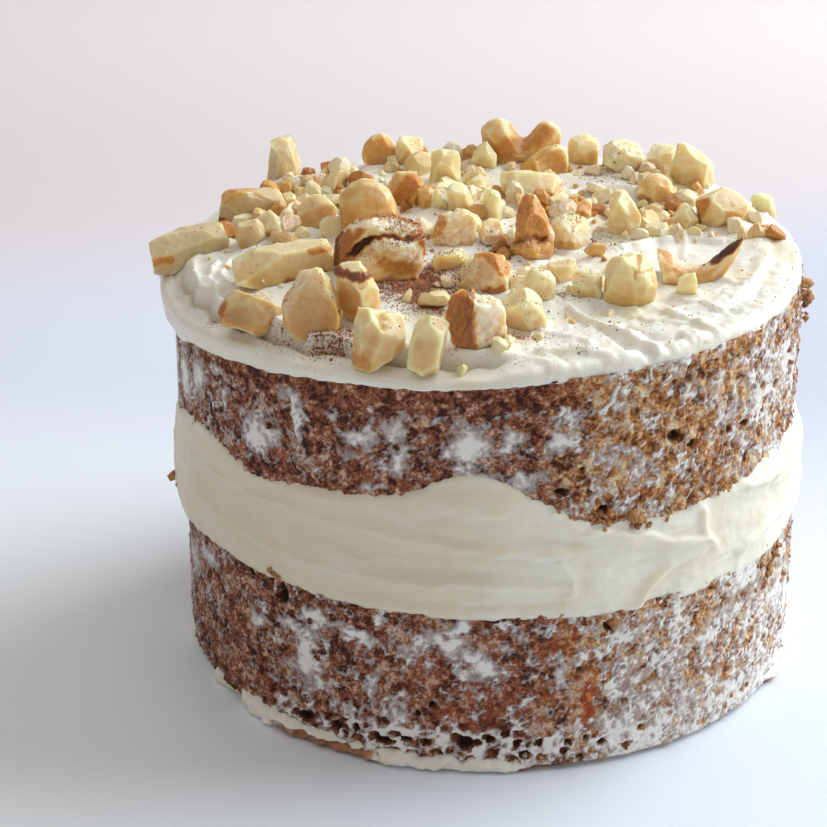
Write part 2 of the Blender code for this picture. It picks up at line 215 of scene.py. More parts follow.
lower_radius, lower_top = rim_of("lower_sponge", top_corner)
upper_radius, upper_top = rim_of("upper_sponge", top_corner)
_, upper_base = rim_of("upper_sponge", base_corner)
filling_radius, _ = rim_of("cream_filling", belly)
topping_radius, _ = rim_of("cream_topping", widest)
_, topping_shoulder = rim_of("cream_topping", top_corner)
foot_radius, _ = rim_of("cream_foot", base_corner)
_, foot_top = rim_of("cream_foot", top_corner)
topping_middle = max(v.co.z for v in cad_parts["cream_topping"].data.vertices
                     if v.co.xy.length < 1 * MM) / MM


# ---------------------------------------------------------------- meshes

def add_mesh(name, verts, faces, look, attributes=(), smooth=True):
    """A mesh object from points in millimetres, which rides on the cake."""
    mesh = bpy.data.meshes.new(name)
    mesh.from_pydata((np.asarray(verts) * MM).tolist(), [], faces)
    mesh.polygons.foreach_set("use_smooth", np.full(len(mesh.polygons), smooth))
    for label, values in dict(attributes).items():
        made = mesh.attributes.new(label, "FLOAT", "POINT")
        made.data.foreach_set("value", np.asarray(values, np.float32))
    mesh.materials.append(look)
    made = bpy.data.objects.new(name, mesh)
    bpy.context.scene.collection.objects.link(made)
    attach(made, "root")
    return made


def ring_faces(rows, columns):
    """Quads between rows of points round the cake, from the bottom up, with a fan over each end."""
    i, j = np.meshgrid(np.arange(rows - 1), np.arange(columns), indexing="ij")
    here, along = i * columns + j, i * columns + (j + 1) % columns
    quads = np.stack([here, along, along + columns, here + columns], axis=-1).reshape(-1, 4).tolist()
    low, high, last = rows * columns, rows * columns + 1, (rows - 1) * columns
    for j in range(columns):
        n = (j + 1) % columns
        quads.append((low, n, j))
        quads.append((high, last + j, last + n))
    return quads


def shell(name, points, ends, look, attributes):
    """A closed mesh from (rows, columns, 3) points round the cake; ends are the heights of the two
    points on the axis that close it."""
    rows, columns = points.shape[:2]
    verts = np.vstack([points.reshape(-1, 3), [(0, 0, ends[0]), (0, 0, ends[1])]])
    padded = {k: np.append(np.asarray(v).reshape(-1), [0, 0]) for k, v in attributes.items()}
    return add_mesh(name, verts, ring_faces(rows, columns), look, padded)


# ---------------------------------------------------------------- materials

class Look:
    """A Principled material and short ways to add nodes to it."""

    def __init__(self, name, **constants):
        self.material = bpy.data.materials.new(name)
        self.material.use_nodes = True
        self.tree = self.material.node_tree
        self.shader = self.tree.nodes["Principled BSDF"]
        for key, value in constants.items():
            self.shader.inputs[key.replace("_", " ")].default_value = value
        coordinates = self.tree.nodes.new("ShaderNodeTexCoord")
        scale = self.tree.nodes.new("ShaderNodeMapping")
        scale.inputs["Scale"].default_value = (1 / MM, 1 / MM, 1 / MM)
        self.tree.links.new(coordinates.outputs["Object"], scale.inputs["Vector"])
        self.places = scale.outputs["Vector"]

    def put(self, socket, value):
        if isinstance(value, bpy.types.NodeSocket):
            self.tree.links.new(value, socket)
        else:
            socket.default_value = value

    def attribute(self, name):
        node = self.tree.nodes.new("ShaderNodeAttribute")
        node.attribute_name = name
        return node.outputs["Fac"]

    def noise(self, cell, detail=2, roughness=0.5, places=None, distortion=0.0):
        """Noise from 0 to 1, with bumps about one cell of millimetres across."""
        node = self.tree.nodes.new("ShaderNodeTexNoise")
        self.put(node.inputs["Vector"], places or self.places)
        self.put(node.inputs["Scale"], 1 / cell)
        self.put(node.inputs["Detail"], detail)
        self.put(node.inputs["Roughness"], roughness)
        self.put(node.inputs["Distortion"], distortion)
        return node.outputs["Fac"]

    def stretched(self, x, y, z):
        node = self.tree.nodes.new("ShaderNodeMapping")
        node.inputs["Scale"].default_value = (1 / x, 1 / y, 1 / z)
        self.put(node.inputs["Vector"], self.places)
        return node.outputs["Vector"]

    def math(self, kind, a, b=0.0, clamp=False):
        node = self.tree.nodes.new("ShaderNodeMath")
        node.operation = kind
        node.use_clamp = clamp
        self.put(node.inputs[0], a)
        self.put(node.inputs[1], b)
        return node.outputs[0]

    def ramp(self, value, low, high, start=0.0, end=1.0):
        """A smooth change from start to end as value goes from low to high."""
        node = self.tree.nodes.new("ShaderNodeMapRange")
        node.interpolation_type = "SMOOTHSTEP"
        for socket, given in zip(node.inputs[:5], (value, low, high, start, end)):
            self.put(socket, given)
        return node.outputs[0]

    def colors(self, value, *stops):
        """A colour ramp through (position, colour) stops."""
        node = self.tree.nodes.new("ShaderNodeValToRGB")
        ramp = node.color_ramp
        while len(ramp.elements) < len(stops):
            ramp.elements.new(0.5)
        for element, (position, color) in zip(ramp.elements, stops):
            element.position = position
            element.color = (*color, 1)
        self.put(node.inputs["Fac"], value)
        return node.outputs["Color"]

    def mix(self, factor, a, b, kind="MIX"):
        node = self.tree.nodes.new("ShaderNodeMix")
        node.data_type = "RGBA"
        node.blend_type = kind
        sides = [(*c, 1) if isinstance(c, tuple) else c for c in (a, b)]
        for socket, value in zip((node.inputs[0], node.inputs[6], node.inputs[7]), (factor, *sides)):
            self.put(socket, value)
        return node.outputs[2]

    def bump(self, height, depth, strength=1.0):
        """Relief of a height from 0 to 1 that is depth millimetres deep."""
        node = self.tree.nodes.new("ShaderNodeBump")
        self.put(node.inputs["Height"], height)
        node.inputs["Distance"].default_value = depth * MM
        self.put(node.inputs["Strength"], strength)
        self.put(self.shader.inputs["Normal"], node.outputs["Normal"])

    def set(self, **values):
        for key, value in values.items():
            self.put(self.shader.inputs[key.replace("_", " ")], value)


CREAM = (0.90, 0.855, 0.71)
CREAM_WARM = (0.87, 0.79, 0.58)
SPONGE_DARK = (0.085, 0.030, 0.020)
SPONGE_MID = (0.245, 0.092, 0.052)
SPONGE_GOLD = (0.55, 0.29, 0.125)
FILM = (0.44, 0.385, 0.375)
CINNAMON = (0.29, 0.100, 0.040)
CARROT = (0.52, 0.12, 0.025)


def cream_color(look, pale=CREAM):
    """Cream, with slow warmer patches."""
    return look.mix(look.ramp(look.noise(6.0, 3), 0.45, 0.80), pale, CREAM_WARM)


def soft_cream(name):
    look = Look(name, Roughness=0.42, Subsurface_Weight=0.45, Subsurface_Scale=0.8 * MM,
                Subsurface_Radius=(1.0, 0.72, 0.42), Specular_IOR_Level=0.45)
    return look


def filling_look():
    look = soft_cream("filling_cream")
    streaks = look.noise(5.0, 3, 0.55, look.stretched(2.2, 2.2, 0.7))
    # Painted shade: on the left-hand side, away from the light, the cream is painted darker and warmer, with more warm
    # streaks.
    streaks = look.math("ADD", streaks, look.math("MULTIPLY", look.attribute("warmth_and_shade"), 0.16))
    share = look.math("MULTIPLY", look.ramp(streaks, 0.42, 0.68), look.ramp(look.attribute("warmth_and_shade"), 0.0, 1.0, 0.4, 0.9))
    base = look.mix(look.ramp(look.attribute("warmth_and_shade"), 0.0, 1.0, 0.0, 0.7), cream_color(look, (0.91, 0.885, 0.765)),
                    (0.80, 0.735, 0.60))
    streaked = look.mix(share, base, (0.82, 0.73, 0.55))
    look.set(Base_Color=streaked, Roughness=look.ramp(look.noise(1.2), 0.3, 0.7, 0.36, 0.55))
    fine = look.math("ADD", look.noise(0.9, 4, 0.6), look.noise(3.2, 3, 0.5, look.stretched(1, 1, 0.28)))
    look.bump(fine, 0.10)
    return look.material


def topping_look():
    """Cream with cinnamon dust sifted over it where the dust attribute says, and a line of painted shade along the foot
    of the step at the front left.
    """
    look = soft_cream("topping_cream")
    dust = look.attribute("dust")
    grain = look.noise(0.34, 3, 0.7)
    cover = look.ramp(look.math("ADD", dust, look.math("MULTIPLY", look.math("SUBTRACT", grain, 0.5), 2.8)), 0.42, 0.80)
    haze = look.ramp(dust, 0.1, 1.2, 0.0, 0.5)
    shown = look.math("MAXIMUM", cover, haze)
    tone = look.colors(look.noise(0.5, 4, 0.7), (0.32, (0.10, 0.030, 0.014)), (0.5, CINNAMON),
                       (0.68, (0.42, 0.17, 0.07)))
    # Painted shade: the cream is darkened and warmed along the foot of the step at the front left.
    cream = look.mix(look.math("MULTIPLY", look.attribute("fold_shade"), 0.85), cream_color(look, (0.93, 0.895, 0.795)),
                     (0.60, 0.49, 0.34))
    look.set(Base_Color=look.mix(shown, cream, tone),
             Roughness=look.ramp(shown, 0.0, 1.0, 0.33, 0.85))
    fine = look.math("ADD", look.noise(0.9, 4, 0.6), look.math("MULTIPLY", grain, dust))
    look.bump(fine, 0.12)
    return look.material


def foot_look():
    """Cream that turns brown where its attribute says: the browned outside of the sponge at the front left, and a thin
    line of painted shade along the bottom at the right front.
    """
    look = soft_cream("foot_cream")
    crust_and_shade = look.ramp(look.math("ADD", look.attribute("crust_and_shade"), look.math("SUBTRACT", look.noise(0.8, 4), 0.5)),
                      0.35, 0.75)
    brown = look.colors(look.noise(0.7, 4, 0.6), (0.35, SPONGE_MID), (0.65, (0.50, 0.24, 0.10)))
    look.set(Base_Color=look.mix(crust_and_shade, cream_color(look, (0.90, 0.865, 0.775)), brown))
    look.bump(look.noise(0.8, 4, 0.6), 0.14)
    return look.material


def sponge_look():
    """Crumb with cream scraped into it: cover is above 0 where the cream lies, tone varies from crumb
    to crumb, the lit share is how far the crumb takes the lighter, yellower colours painted on its lit side in place of
    the darker ones painted on its shaded side, and pit how deep a hollow, which is painted near black as shade, with
    painted shade in the crevices between crumbs added in."""
    look = Look("sponge_crumb", Roughness=0.75, Subsurface_Weight=0.22, Subsurface_Scale=0.7 * MM,
                Subsurface_Radius=(1.0, 0.45, 0.25), Specular_IOR_Level=0.3)
    cover, tone, pit, carrot, lit_gold = (look.attribute(n) for n in ("cover", "tone", "pit", "carrot", "lit_gold"))
    fine = look.noise(0.42, 3, 0.6)
    grain = look.math("ADD", look.math("MULTIPLY", tone, 0.26), look.math("MULTIPLY", look.noise(1.3, 3, 0.6), 0.45))
    grain = look.math("ADD", grain, look.math("MULTIPLY", fine, 0.55))
    grain = look.math("ADD", grain, look.math("MULTIPLY", lit_gold, 0.045))
    grain = look.math("ADD", grain, look.math("MULTIPLY", look.math("SUBTRACT", look.noise(3.0, 2), 0.5), 0.30))
    # Painted light and shade: one crumb colour ramp for the shaded side, darker, and one for the lit side, lighter and
    # yellower.
    shade_side_tone = look.colors(grain, (0.52, (0.060, 0.017, 0.010)), (0.61, (0.25, 0.076, 0.036)), (0.70, (0.40, 0.165, 0.085)),
                       (0.78, (0.72, 0.50, 0.37)))
    lit_crumb = look.colors(grain, (0.50, (0.085, 0.024, 0.008)), (0.61, (0.36, 0.125, 0.034)), (0.70, (0.60, 0.29, 0.10)),
                        (0.79, (0.86, 0.66, 0.42)))
    crumb = look.mix(lit_gold, shade_side_tone, lit_crumb)
    crumb = look.mix(carrot, crumb, look.mix(look.ramp(look.noise(0.8), 0.42, 0.72), (0.36, 0.055, 0.020), (0.66, 0.22, 0.05)))
    # Painted shade: hollows and the crevices between crumbs are painted near black.
    crumb = look.mix(look.ramp(pit, 0.05, 0.9, 0.0, 0.85), crumb, (0.02, 0.009, 0.006))
    mottle = look.math("ADD", look.math("MULTIPLY", look.math("SUBTRACT", fine, 0.5), 0.30),
                       look.math("MULTIPLY", look.math("SUBTRACT", look.noise(0.9, 3, 0.6), 0.5), 0.45))
    depth = look.math("ADD", cover, mottle)
    film = look.mix(look.ramp(depth, -0.16, 0.06, 0.0, 0.8), crumb, FILM)
    cream = look.mix(look.ramp(depth, 0.0, 0.42), film, (0.89, 0.86, 0.81))
    covered = look.ramp(depth, -0.02, 0.16)
    look.set(Base_Color=cream, Roughness=look.ramp(covered, 0.0, 1.0, 0.80, 0.42))
    look.bump(look.noise(0.30, 4, 0.7), 0.16, look.ramp(covered, 0.0, 1.0, 1.0, 0.25))
    return look.material


def nut_look(name="walnut", deep=2.1, share=0.85):
    """Walnut, into which light goes deep millimetres for its share: pale flesh that turns a deeper gold as the gold
    attribute rises, which holds each piece's own tone together with painted shade and painted light, white where it is
    broken into crumbs and where a highlight is painted along its edges, darkened as painted shade on the left-hand
    pieces, and its skin, from tan to near black as the skin attribute goes from 0.3 to 1."""
    look = Look(name, Roughness=0.38, Subsurface_Weight=share, Subsurface_Scale=deep * MM,
                Subsurface_Radius=(1.0, 0.68, 0.30), Specular_IOR_Level=0.5)
    skin, gold, white, dust = (look.attribute(n) for n in ("skin", "gold", "white", "dust"))
    patch = look.math("SUBTRACT", look.noise(1.5, 3, 0.55), 0.5)
    warmth_and_shade = look.math("ADD", gold, look.math("MULTIPLY", patch, 0.35))
    flesh = look.colors(warmth_and_shade, (0.0, (0.93, 0.82, 0.48)), (0.35, (0.82, 0.665, 0.34)),
                        (0.65, (0.76, 0.475, 0.16)), (0.95, (0.64, 0.28, 0.062)))
    # The white attribute holds both the crumbled white and a painted highlight along the edges.
    crumb_white_and_highlight = look.math("MULTIPLY", white, look.ramp(look.noise(0.45, 4, 0.7), 0.30, 0.62))
    # Painted shade: the flesh of the pieces on the left-hand side is darkened as a whole.
    flesh = look.mix(crumb_white_and_highlight, look.mix(look.attribute("shade_side_tone"), flesh, (0.56, 0.44, 0.24)), (0.93, 0.84, 0.71))
    wander = look.math("MULTIPLY", look.math("SUBTRACT", look.noise(0.55, 4, 0.7), 0.5), 0.45)
    shade = look.math("ADD", skin, look.math("MULTIPLY", wander, look.ramp(skin, 0.0, 0.3)))
    skinned = look.colors(shade, (0.25, (0.76, 0.47, 0.15)), (0.50, (0.57, 0.235, 0.050)),
                          (0.72, (0.30, 0.10, 0.035)), (0.95, (0.07, 0.022, 0.012)))
    sifted = look.ramp(look.math("ADD", look.math("MULTIPLY", dust, 0.42), look.noise(0.28, 3, 0.7)), 0.70, 0.84)
    nut = look.mix(look.ramp(shade, 0.10, 0.34), flesh, skinned)
    look.set(Base_Color=look.mix(look.math("MULTIPLY", sifted, 0.8), nut, CINNAMON),
             Roughness=look.ramp(look.noise(0.6), 0.3, 0.7, 0.30, 0.55))
    look.bump(look.noise(0.5, 5, 0.65), 0.08)
    return look.material


def grain_look():
    look = Look("cinnamon", Roughness=0.85)
    look.set(Base_Color=look.mix(look.attribute("tone"), (0.085, 0.030, 0.015), (0.42, 0.155, 0.060)))
    return look.material


def crumb_look():
    look = Look("loose_crumb", Roughness=0.85, Subsurface_Weight=0.2, Subsurface_Scale=0.8 * MM,
                Subsurface_Radius=(1.0, 0.45, 0.2))
    tone = look.math("ADD", look.math("MULTIPLY", look.attribute("tone"), 0.6),
                     look.math("MULTIPLY", look.noise(0.4, 4), 0.55))
    look.set(Base_Color=look.colors(tone, (0.25, SPONGE_DARK), (0.5, SPONGE_MID), (0.85, (0.52, 0.27, 0.10))))
    look.bump(look.noise(0.25, 4, 0.7), 0.12)
    return look.material


# ---------------------------------------------------------------- the sponges

def smears(bearing, height, radius, marks, places, seed):
    """The cream left on the crumb by marks: (bearing, height, half width, half height, depth), in
    millimetres, each with a torn outline."""
    slide = 0.9 * noise(places, 1.7, seed) + 0.45 * noise(places, 0.7, seed + 1)
    lift = 0.9 * noise(places, 1.7, seed + 2) + 0.45 * noise(places, 0.7, seed + 3)
    total = np.zeros(len(places))
    for at, middle, wide, tall, depth in marks:
        across = np.radians(turn_between(bearing, at)) * radius + slide
        up = height - middle + lift
        total = np.maximum(total, depth * np.exp(-1.1 * ((across / wide) ** 2 + (up / tall) ** 2)))
    return total


def holes(bearing, height, radius, marks):
    """How deep each place is in round hollows: (bearing, height, half width, half height, depth)."""
    total = np.zeros(len(height))
    for at, middle, wide, tall, depth in marks:
        across = np.radians(turn_between(bearing, at)) * radius
        reach = np.sqrt((across / wide) ** 2 + ((height - middle) / tall) ** 2)
        total = np.maximum(total, depth * (1 - smooth_step(0.55, 1.05, reach)))
    return total


THREADS = [
    # Thin threads of cream drawn down the crumb: (bearing, height) corners.
    [(21.4, 47.4), (20.6, 46.0), (19.6, 45.2), (18.6, 44.9)], [(-34.6, 44.0), (-33.8, 42.0), (-33.5, 39.6)],
    [(-32.8, 42.9), (-31.4, 41.9)],
]


def honeycomb(bearing, height):
    """How far the crumb is an open net of cream walls round dark cells, low down at the front."""
    band = smooth_step(1.2, 2.4, height) * smooth_step(7.4, 5.2, height)
    return band * window(bearing, -44, 8, 6) + 0.7 * smooth_step(5.5, 3.5, height) * window(bearing, 8, 26, 4)


def torn_sponge(name, node, shape, ends, rows, columns, seed, marks, pores, carrots, bias):
    """A sponge round with its crumb and the cream on it. shape gives the (radius, low, high) curves of
    its side and bias how much more cream lies at each (bearing, height)."""
    radius_at, low_at, high_at = shape
    bearing = np.linspace(-180, 180, columns, endpoint=False)[None, :]
    level = np.linspace(0, 1, rows)[:, None]
    low, high = low_at(bearing), high_at(bearing)
    height = (low + (high - low) * level).reshape(-1)
    bearing = np.broadcast_to(bearing, (rows, columns)).reshape(-1)
    radius = radius_at(bearing)
    places = polar(bearing, radius, height)
    bold = 0.75 + 0.65 * window(bearing, 22, 170, 30)
    near, following, own = crumbs(places, 1.0, seed)
    small, small_next, small_own = crumbs(places, 0.52, seed + 1)
    relief = bold * (0.36 * splinters(places, 1.35, seed + 2) * (0.4 + own) + 0.20 * splinters(places, 0.62, seed + 5))
    relief += bold * 0.12 * dome(near) + 0.14 * noise(places, 3.0, seed + 8) + 0.07 * noise(places, 0.45, seed + 9)
    relief -= relief.mean()
    hollow, _, chance = crumbs(places, 3.1, seed + 10)
    pit = 0.7 * (bold - 0.45) * (chance > 0.60) * (1 - smooth_step(0.08, 0.22, hollow + 0.05 * noise(places, 0.6, seed + 11)))
    pit = np.maximum(pit, holes(bearing, height, radius, pores))
    # Painted light: the crumb takes the lighter, yellower colours fully on the right-hand side, where the light falls,
    # and half behind; the same share shapes the cream in the seams there.
    lit_gold = window(bearing, 20, 60, 14) + 0.5 * window(bearing, 60, 230, 20)
    thread = noise(places, 2.0, seed + 17)
    seam = smooth_step(0.24 - 0.07 * lit_gold, 0.04, following - near) + 0.6 * smooth_step(0.20, 0.05, small_next - small)
    seam *= 1 + 0.8 * thread
    film = -0.36 + 0.30 * noise(places, 0.85, seed + 12) + 0.16 * noise(places, 0.45, seed + 13)
    film += 0.18 * noise(places, 3.6, seed + 14) + (0.22 + 0.14 * lit_gold) * seam + bias(bearing, height)
    film -= 0.30 * relief * (1 - 1.3 * lit_gold)
    film += 0.34 * noise(places, 1.9, seed + 15) * window(bearing, 24, 150, 8)
    cell, next_cell, cell_own = crumbs(places, 1.6, seed + 30, (1.1, 1.1, 0.85))
    wall = smooth_step(0.34, 0.10, next_cell - cell + 0.08 * noise(places, 0.6, seed + 31))
    porous = honeycomb(bearing, height)
    film += porous * (-0.26 + 0.50 * wall) * (1 - 0.25 * window(bearing, -60, -24, 8))
    film += 0.10 * porous * window(bearing, -36, -12, 6) * wall
    film += 0.16 * noise(places, 1.6, seed + 18) * window(bearing, -40, 16, 6)
    pit = np.maximum(pit, 0.55 * porous * smooth_step(0.55, 0.2, cell) * (1 - wall) * (cell_own > 0.3))
    smeared = smears(bearing, height, radius, marks, places, seed + 16) * (1 - 0.35 * window(bearing, 22, 62, 8))
    patches = smooth_step(0.05, 0.75, noise(places, 3.4, seed + 19, (1.3, 1.3, 0.8)) + 0.3 * noise(places, 1.1, seed + 21))
    smeared = np.maximum(smeared, 0.75 * patches * (1 - window(bearing, -70, 82, 12)))
    cover = np.maximum(film, np.maximum(film + 0.30 * smeared, 0.40 * film + 0.92 * smeared - 0.10))
    drawn = np.zeros(len(places))
    for corners in THREADS:
        flat = np.column_stack([np.radians(bearing) * 38, height])
        away = from_line(flat, [(math.radians(b) * 38, z) for b, z in corners])
        drawn = np.maximum(drawn, np.exp(-((away + 0.2 * noise(places, 1.2, 77)) / 0.22) ** 2))
    cover = np.maximum(cover, 0.9 * drawn - 0.3)
    cover = np.where(pit > 0.2, -1.0, cover)
    surface = relief + (0.12 + 0.30 * relief - relief) * smooth_step(-0.08, 0.28, cover) - pit
    carrot = np.clip(smears(bearing, height, radius, carrots, places, seed + 20), 0, 1)
    surface += 0.12 * carrot + 0.22 * drawn
    cover -= 0.8 * np.clip(carrot - 0.4, 0, 1)
    points = polar(bearing, radius + surface, height).reshape(rows, columns, 3)
    # Painted shade between crumbs and on the low places of the relief, added to the pit attribute so that it darkens
    # the crumb.
    crevice_shade = 0.35 * smooth_step(0.25, 0.0, following - near) + np.clip(-relief - 0.12, 0, 0.5)
    attributes = {"cover": np.clip(cover, -1, 1), "tone": 0.65 * own + 0.35 * small_own,
                  "pit": np.clip(pit + 0.6 * crevice_shade, 0, 1), "carrot": carrot, "lit_gold": lit_gold}
    made = shell(name, points, ends, looks["sponge"], attributes)
    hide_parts(node)
    return made


UPPER_SMEARS = [
    (-43, 38.0, 2.6, 2.4, 0.7), (-39, 38.5, 1.6, 1.8, 0.6), (-35, 44.2, 1.6, 0.9, 0.6), (-34, 41.5, 0.4, 2.6, 0.6),
    (-33, 42.0, 0.9, 0.4, 0.5), (-22, 41.0, 2.0, 1.5, 0.6), (-24, 38.6, 1.2, 0.8, 0.4), (-16, 42.6, 1.3, 1.6, 0.5),
    (-15, 39.6, 1.2, 1.9, 0.7), (-3, 41.3, 2.0, 2.3, 0.8), (-2, 38.2, 3.2, 0.7, 0.4), (4, 42.0, 1.5, 1.5, 0.6),
    (6, 37.3, 3.0, 1.0, 0.5), (12, 41.6, 1.3, 1.4, 0.6), (14, 44.3, 1.6, 0.6, 0.4), (22, 39.2, 2.2, 1.0, 0.5),
    (26, 37.6, 1.0, 1.6, 0.5), (35, 45.0, 1.2, 0.9, 0.8), (47, 41.0, 1.0, 3.0, 0.5), (56, 41.5, 3.2, 1.9, 0.7),
    (66, 43.0, 1.6, 3.0, 0.7), (72, 39.5, 1.4, 2.6, 0.6), (50, 36.5, 2.0, 1.2, 0.5), (-62, 41.0, 2.0, 3.0, 0.5),
    (-70, 39.0, 2.2, 3.4, 0.6), (-55, 43.2, 1.6, 1.0, 0.5), (-52, 40.0, 0.8, 1.8, 0.5), (-80, 38.0, 2.4, 3.6, 0.7),
    (-27, 43.0, 1.0, 0.8, 0.4), (-8, 44.4, 1.0, 0.7, 0.35), (-19, 35.2, 1.8, 0.5, 0.5), (-26, 35.6, 1.2, 0.5, 0.4),
]
LOWER_SMEARS = [
    (-33, 11.5, 1.2, 3.4, 0.7), (-36, 14.5, 1.8, 1.0, 0.5), (-31, 16.8, 3.4, 0.7, 0.6), (-45, 13.4, 1.3, 1.1, 0.6),
    (-23, 16.2, 2.8, 0.7, 0.6), (-6, 16.8, 2.4, 1.4, 0.8), (-4, 18.8, 0.8, 1.4, 0.7), (0, 13.8, 1.6, 1.5, 0.7),
    (-3, 15.4, 2.6, 0.9, 0.6), (-37, 10.0, 1.4, 1.2, 0.4), (-20, 9.5, 0.6, 2.0, 0.4), (-28, 6.0, 0.5, 1.6, 0.4),
    (-22, 5.8, 0.5, 1.5, 0.4), (-15, 7.2, 1.6, 1.2, 0.35), (13, 12.5, 0.7, 2.4, 0.5), (25, 11.5, 2.4, 4.2, 0.28),
    (30, 7.5, 3.6, 2.8, 0.40), (24, 5.5, 3.0, 2.6, 0.40), (27, 16.2, 2.0, 1.6, 0.30), (35, 10.0, 2.0, 3.6, 0.35),
    (26, 3.6, 4.6, 1.6, 0.6), (38, 5.6, 3.2, 2.4, 0.5), (47, 15.0, 1.6, 2.4, 0.5), (52, 18.2, 3.6, 1.8, 0.8),
    (57, 15.4, 2.0, 1.6, 0.6), (42, 12.2, 1.0, 2.6, 0.5), (68, 13.0, 3.2, 4.6, 0.5), (76, 8.0, 3.0, 4.2, 0.55),
    (60, 7.0, 1.4, 3.2, 0.45), (-62, 16.8, 4.0, 1.2, 0.5), (-72, 14.0, 3.6, 2.6, 0.4), (-80, 9.0, 3.0, 3.6, 0.4),
    (-58, 11.0, 0.8, 2.2, 0.4),
]
LOWER_PORES = [
    (-33.5, 3.2, 1.2, 0.75, 1.3), (-27, 3.4, 0.7, 0.65, 1.0), (-18, 3.0, 1.3, 0.55, 1.2), (-13.5, 3.6, 0.8, 0.5, 1.0),
    (-3, 3.8, 0.95, 1.1, 1.5), (1.2, 4.4, 0.6, 0.5, 1.0), (15, 3.5, 0.55, 0.5, 1.0), (18, 3.8, 0.45, 0.6, 0.9),
    (21, 3.0, 0.6, 0.5, 0.9), (-38.5, 18.4, 1.0, 1.5, 1.8), (-47, 18.9, 0.8, 0.65, 1.3), (-23, 3.9, 0.5, 0.6, 1.0),
    (21.5, 18.3, 0.7, 0.8, 1.2), (62, 17.0, 0.6, 0.8, 1.1), (-9, 8.6, 0.5, 0.4, 0.9), (-11.5, 7.2, 0.45, 0.35, 0.9),
]
UPPER_PORES = [
    (12.5, 35.6, 1.0, 0.5, 1.1), (20, 33.0, 0.7, 0.45, 1.1), (33, 40.2, 1.1, 0.9, 1.0), (37, 38.6, 0.8, 0.7, 0.9),
    (16, 38.2, 0.4, 0.4, 0.8), (-40, 39.6, 0.4, 0.5, 0.6),
]
LOWER_CARROTS = [
    (18, 8.8, 0.9, 3.6, 1.3), (15.5, 17.8, 0.9, 1.4, 0.8), (-6, 7.6, 1.3, 1.0, 0.6), (-2, 9.8, 1.2, 1.2, 0.5),
    (8, 6.8, 1.6, 0.9, 0.6), (24, 18.9, 1.1, 0.9, 0.7), (4, 8.4, 4.0, 2.6, 0.40), (13, 16.2, 3.0, 2.4, 0.42),
    (-1, 11.6, 2.2, 1.0, 0.5), (10, 9.6, 2.6, 0.8, 0.55),
    (-12, 12.4, 4.0, 3.4, 0.22), (-2, 6.2, 2.6, 1.4, 0.4), (46, 13.4, 0.9, 1.2, 0.6), (52, 6.4, 0.5, 1.8, 0.5),
    (120, 9.0, 0.9, 2.8, 0.8), (-140, 11.0, 1.6, 0.9, 0.8), (-175, 15.0, 0.9, 2.0, 0.8),
]
UPPER_CARROTS = [
    (24, 31.4, 1.0, 0.9, 0.6), (27, 34.0, 1.2, 1.0, 0.5), (-37, 36.4, 0.8, 0.6, 0.5), (110, 37.0, 0.8, 2.2, 0.8),
    (-155, 40.0, 1.8, 0.7, 0.8),
]


def upper_bias(bearing, height):
    """Clean under the topping at the front, heavier at both sides and behind."""
    clean = smooth_step(3.2, 1.6, upper_top(bearing) - height) * window(bearing, -58, 16, 6)
    bare = smooth_step(2.2, 1.0, height - upper_base(bearing)) * window(bearing, -52, -14, 6)
    sides = 0.10 * window(bearing, -110, -52, 14) + 0.05 * window(bearing, 14, 50, 8)
    return sides - 0.05 + 0.16 * window(bearing, 58, 120, 12) - 0.30 * clean - 0.22 * bare


def lower_bias(bearing, height):
    """More cream low down, where the foot was pushed against the crumb, and at the right."""
    foot = 0.22 * smooth_step(6.5, 2.6, height) * (1 - 0.9 * window(bearing, -100, -26, 10))
    lace = (0.04 + 0.34 * noise(polar(bearing, 38.0, height), 1.9, 39)) * window(bearing, -44, 16, 8)
    return foot + lace - 0.07 * window(bearing, -95, -44, 10) - 0.10 * window(bearing, -62, -30, 10) * smooth_step(9, 5, height) + 0.13 * window(bearing, 22, 100, 5) + 0.06 * window(bearing, 52, 100, 8) + 0.08 * window(bearing, -120, -60, 12)


def sponges():
    torn_sponge("upper_crumb", "upper_sponge",
                (upper_radius, lambda b: upper_base(b) - BURY, lambda b: upper_top(b) + BURY / 2), (33, 47),
                74, 1000, 11, UPPER_SMEARS, UPPER_PORES, UPPER_CARROTS, upper_bias)
    torn_sponge("lower_crumb", "lower_sponge",
                (lower_radius, lambda b: foot_top(b) * 0.35, lambda b: lower_top(b) + BURY), (1, 20),
                84, 1000, 31, LOWER_SMEARS, LOWER_PORES, LOWER_CARROTS, lower_bias)


# ---------------------------------------------------------------- the cream

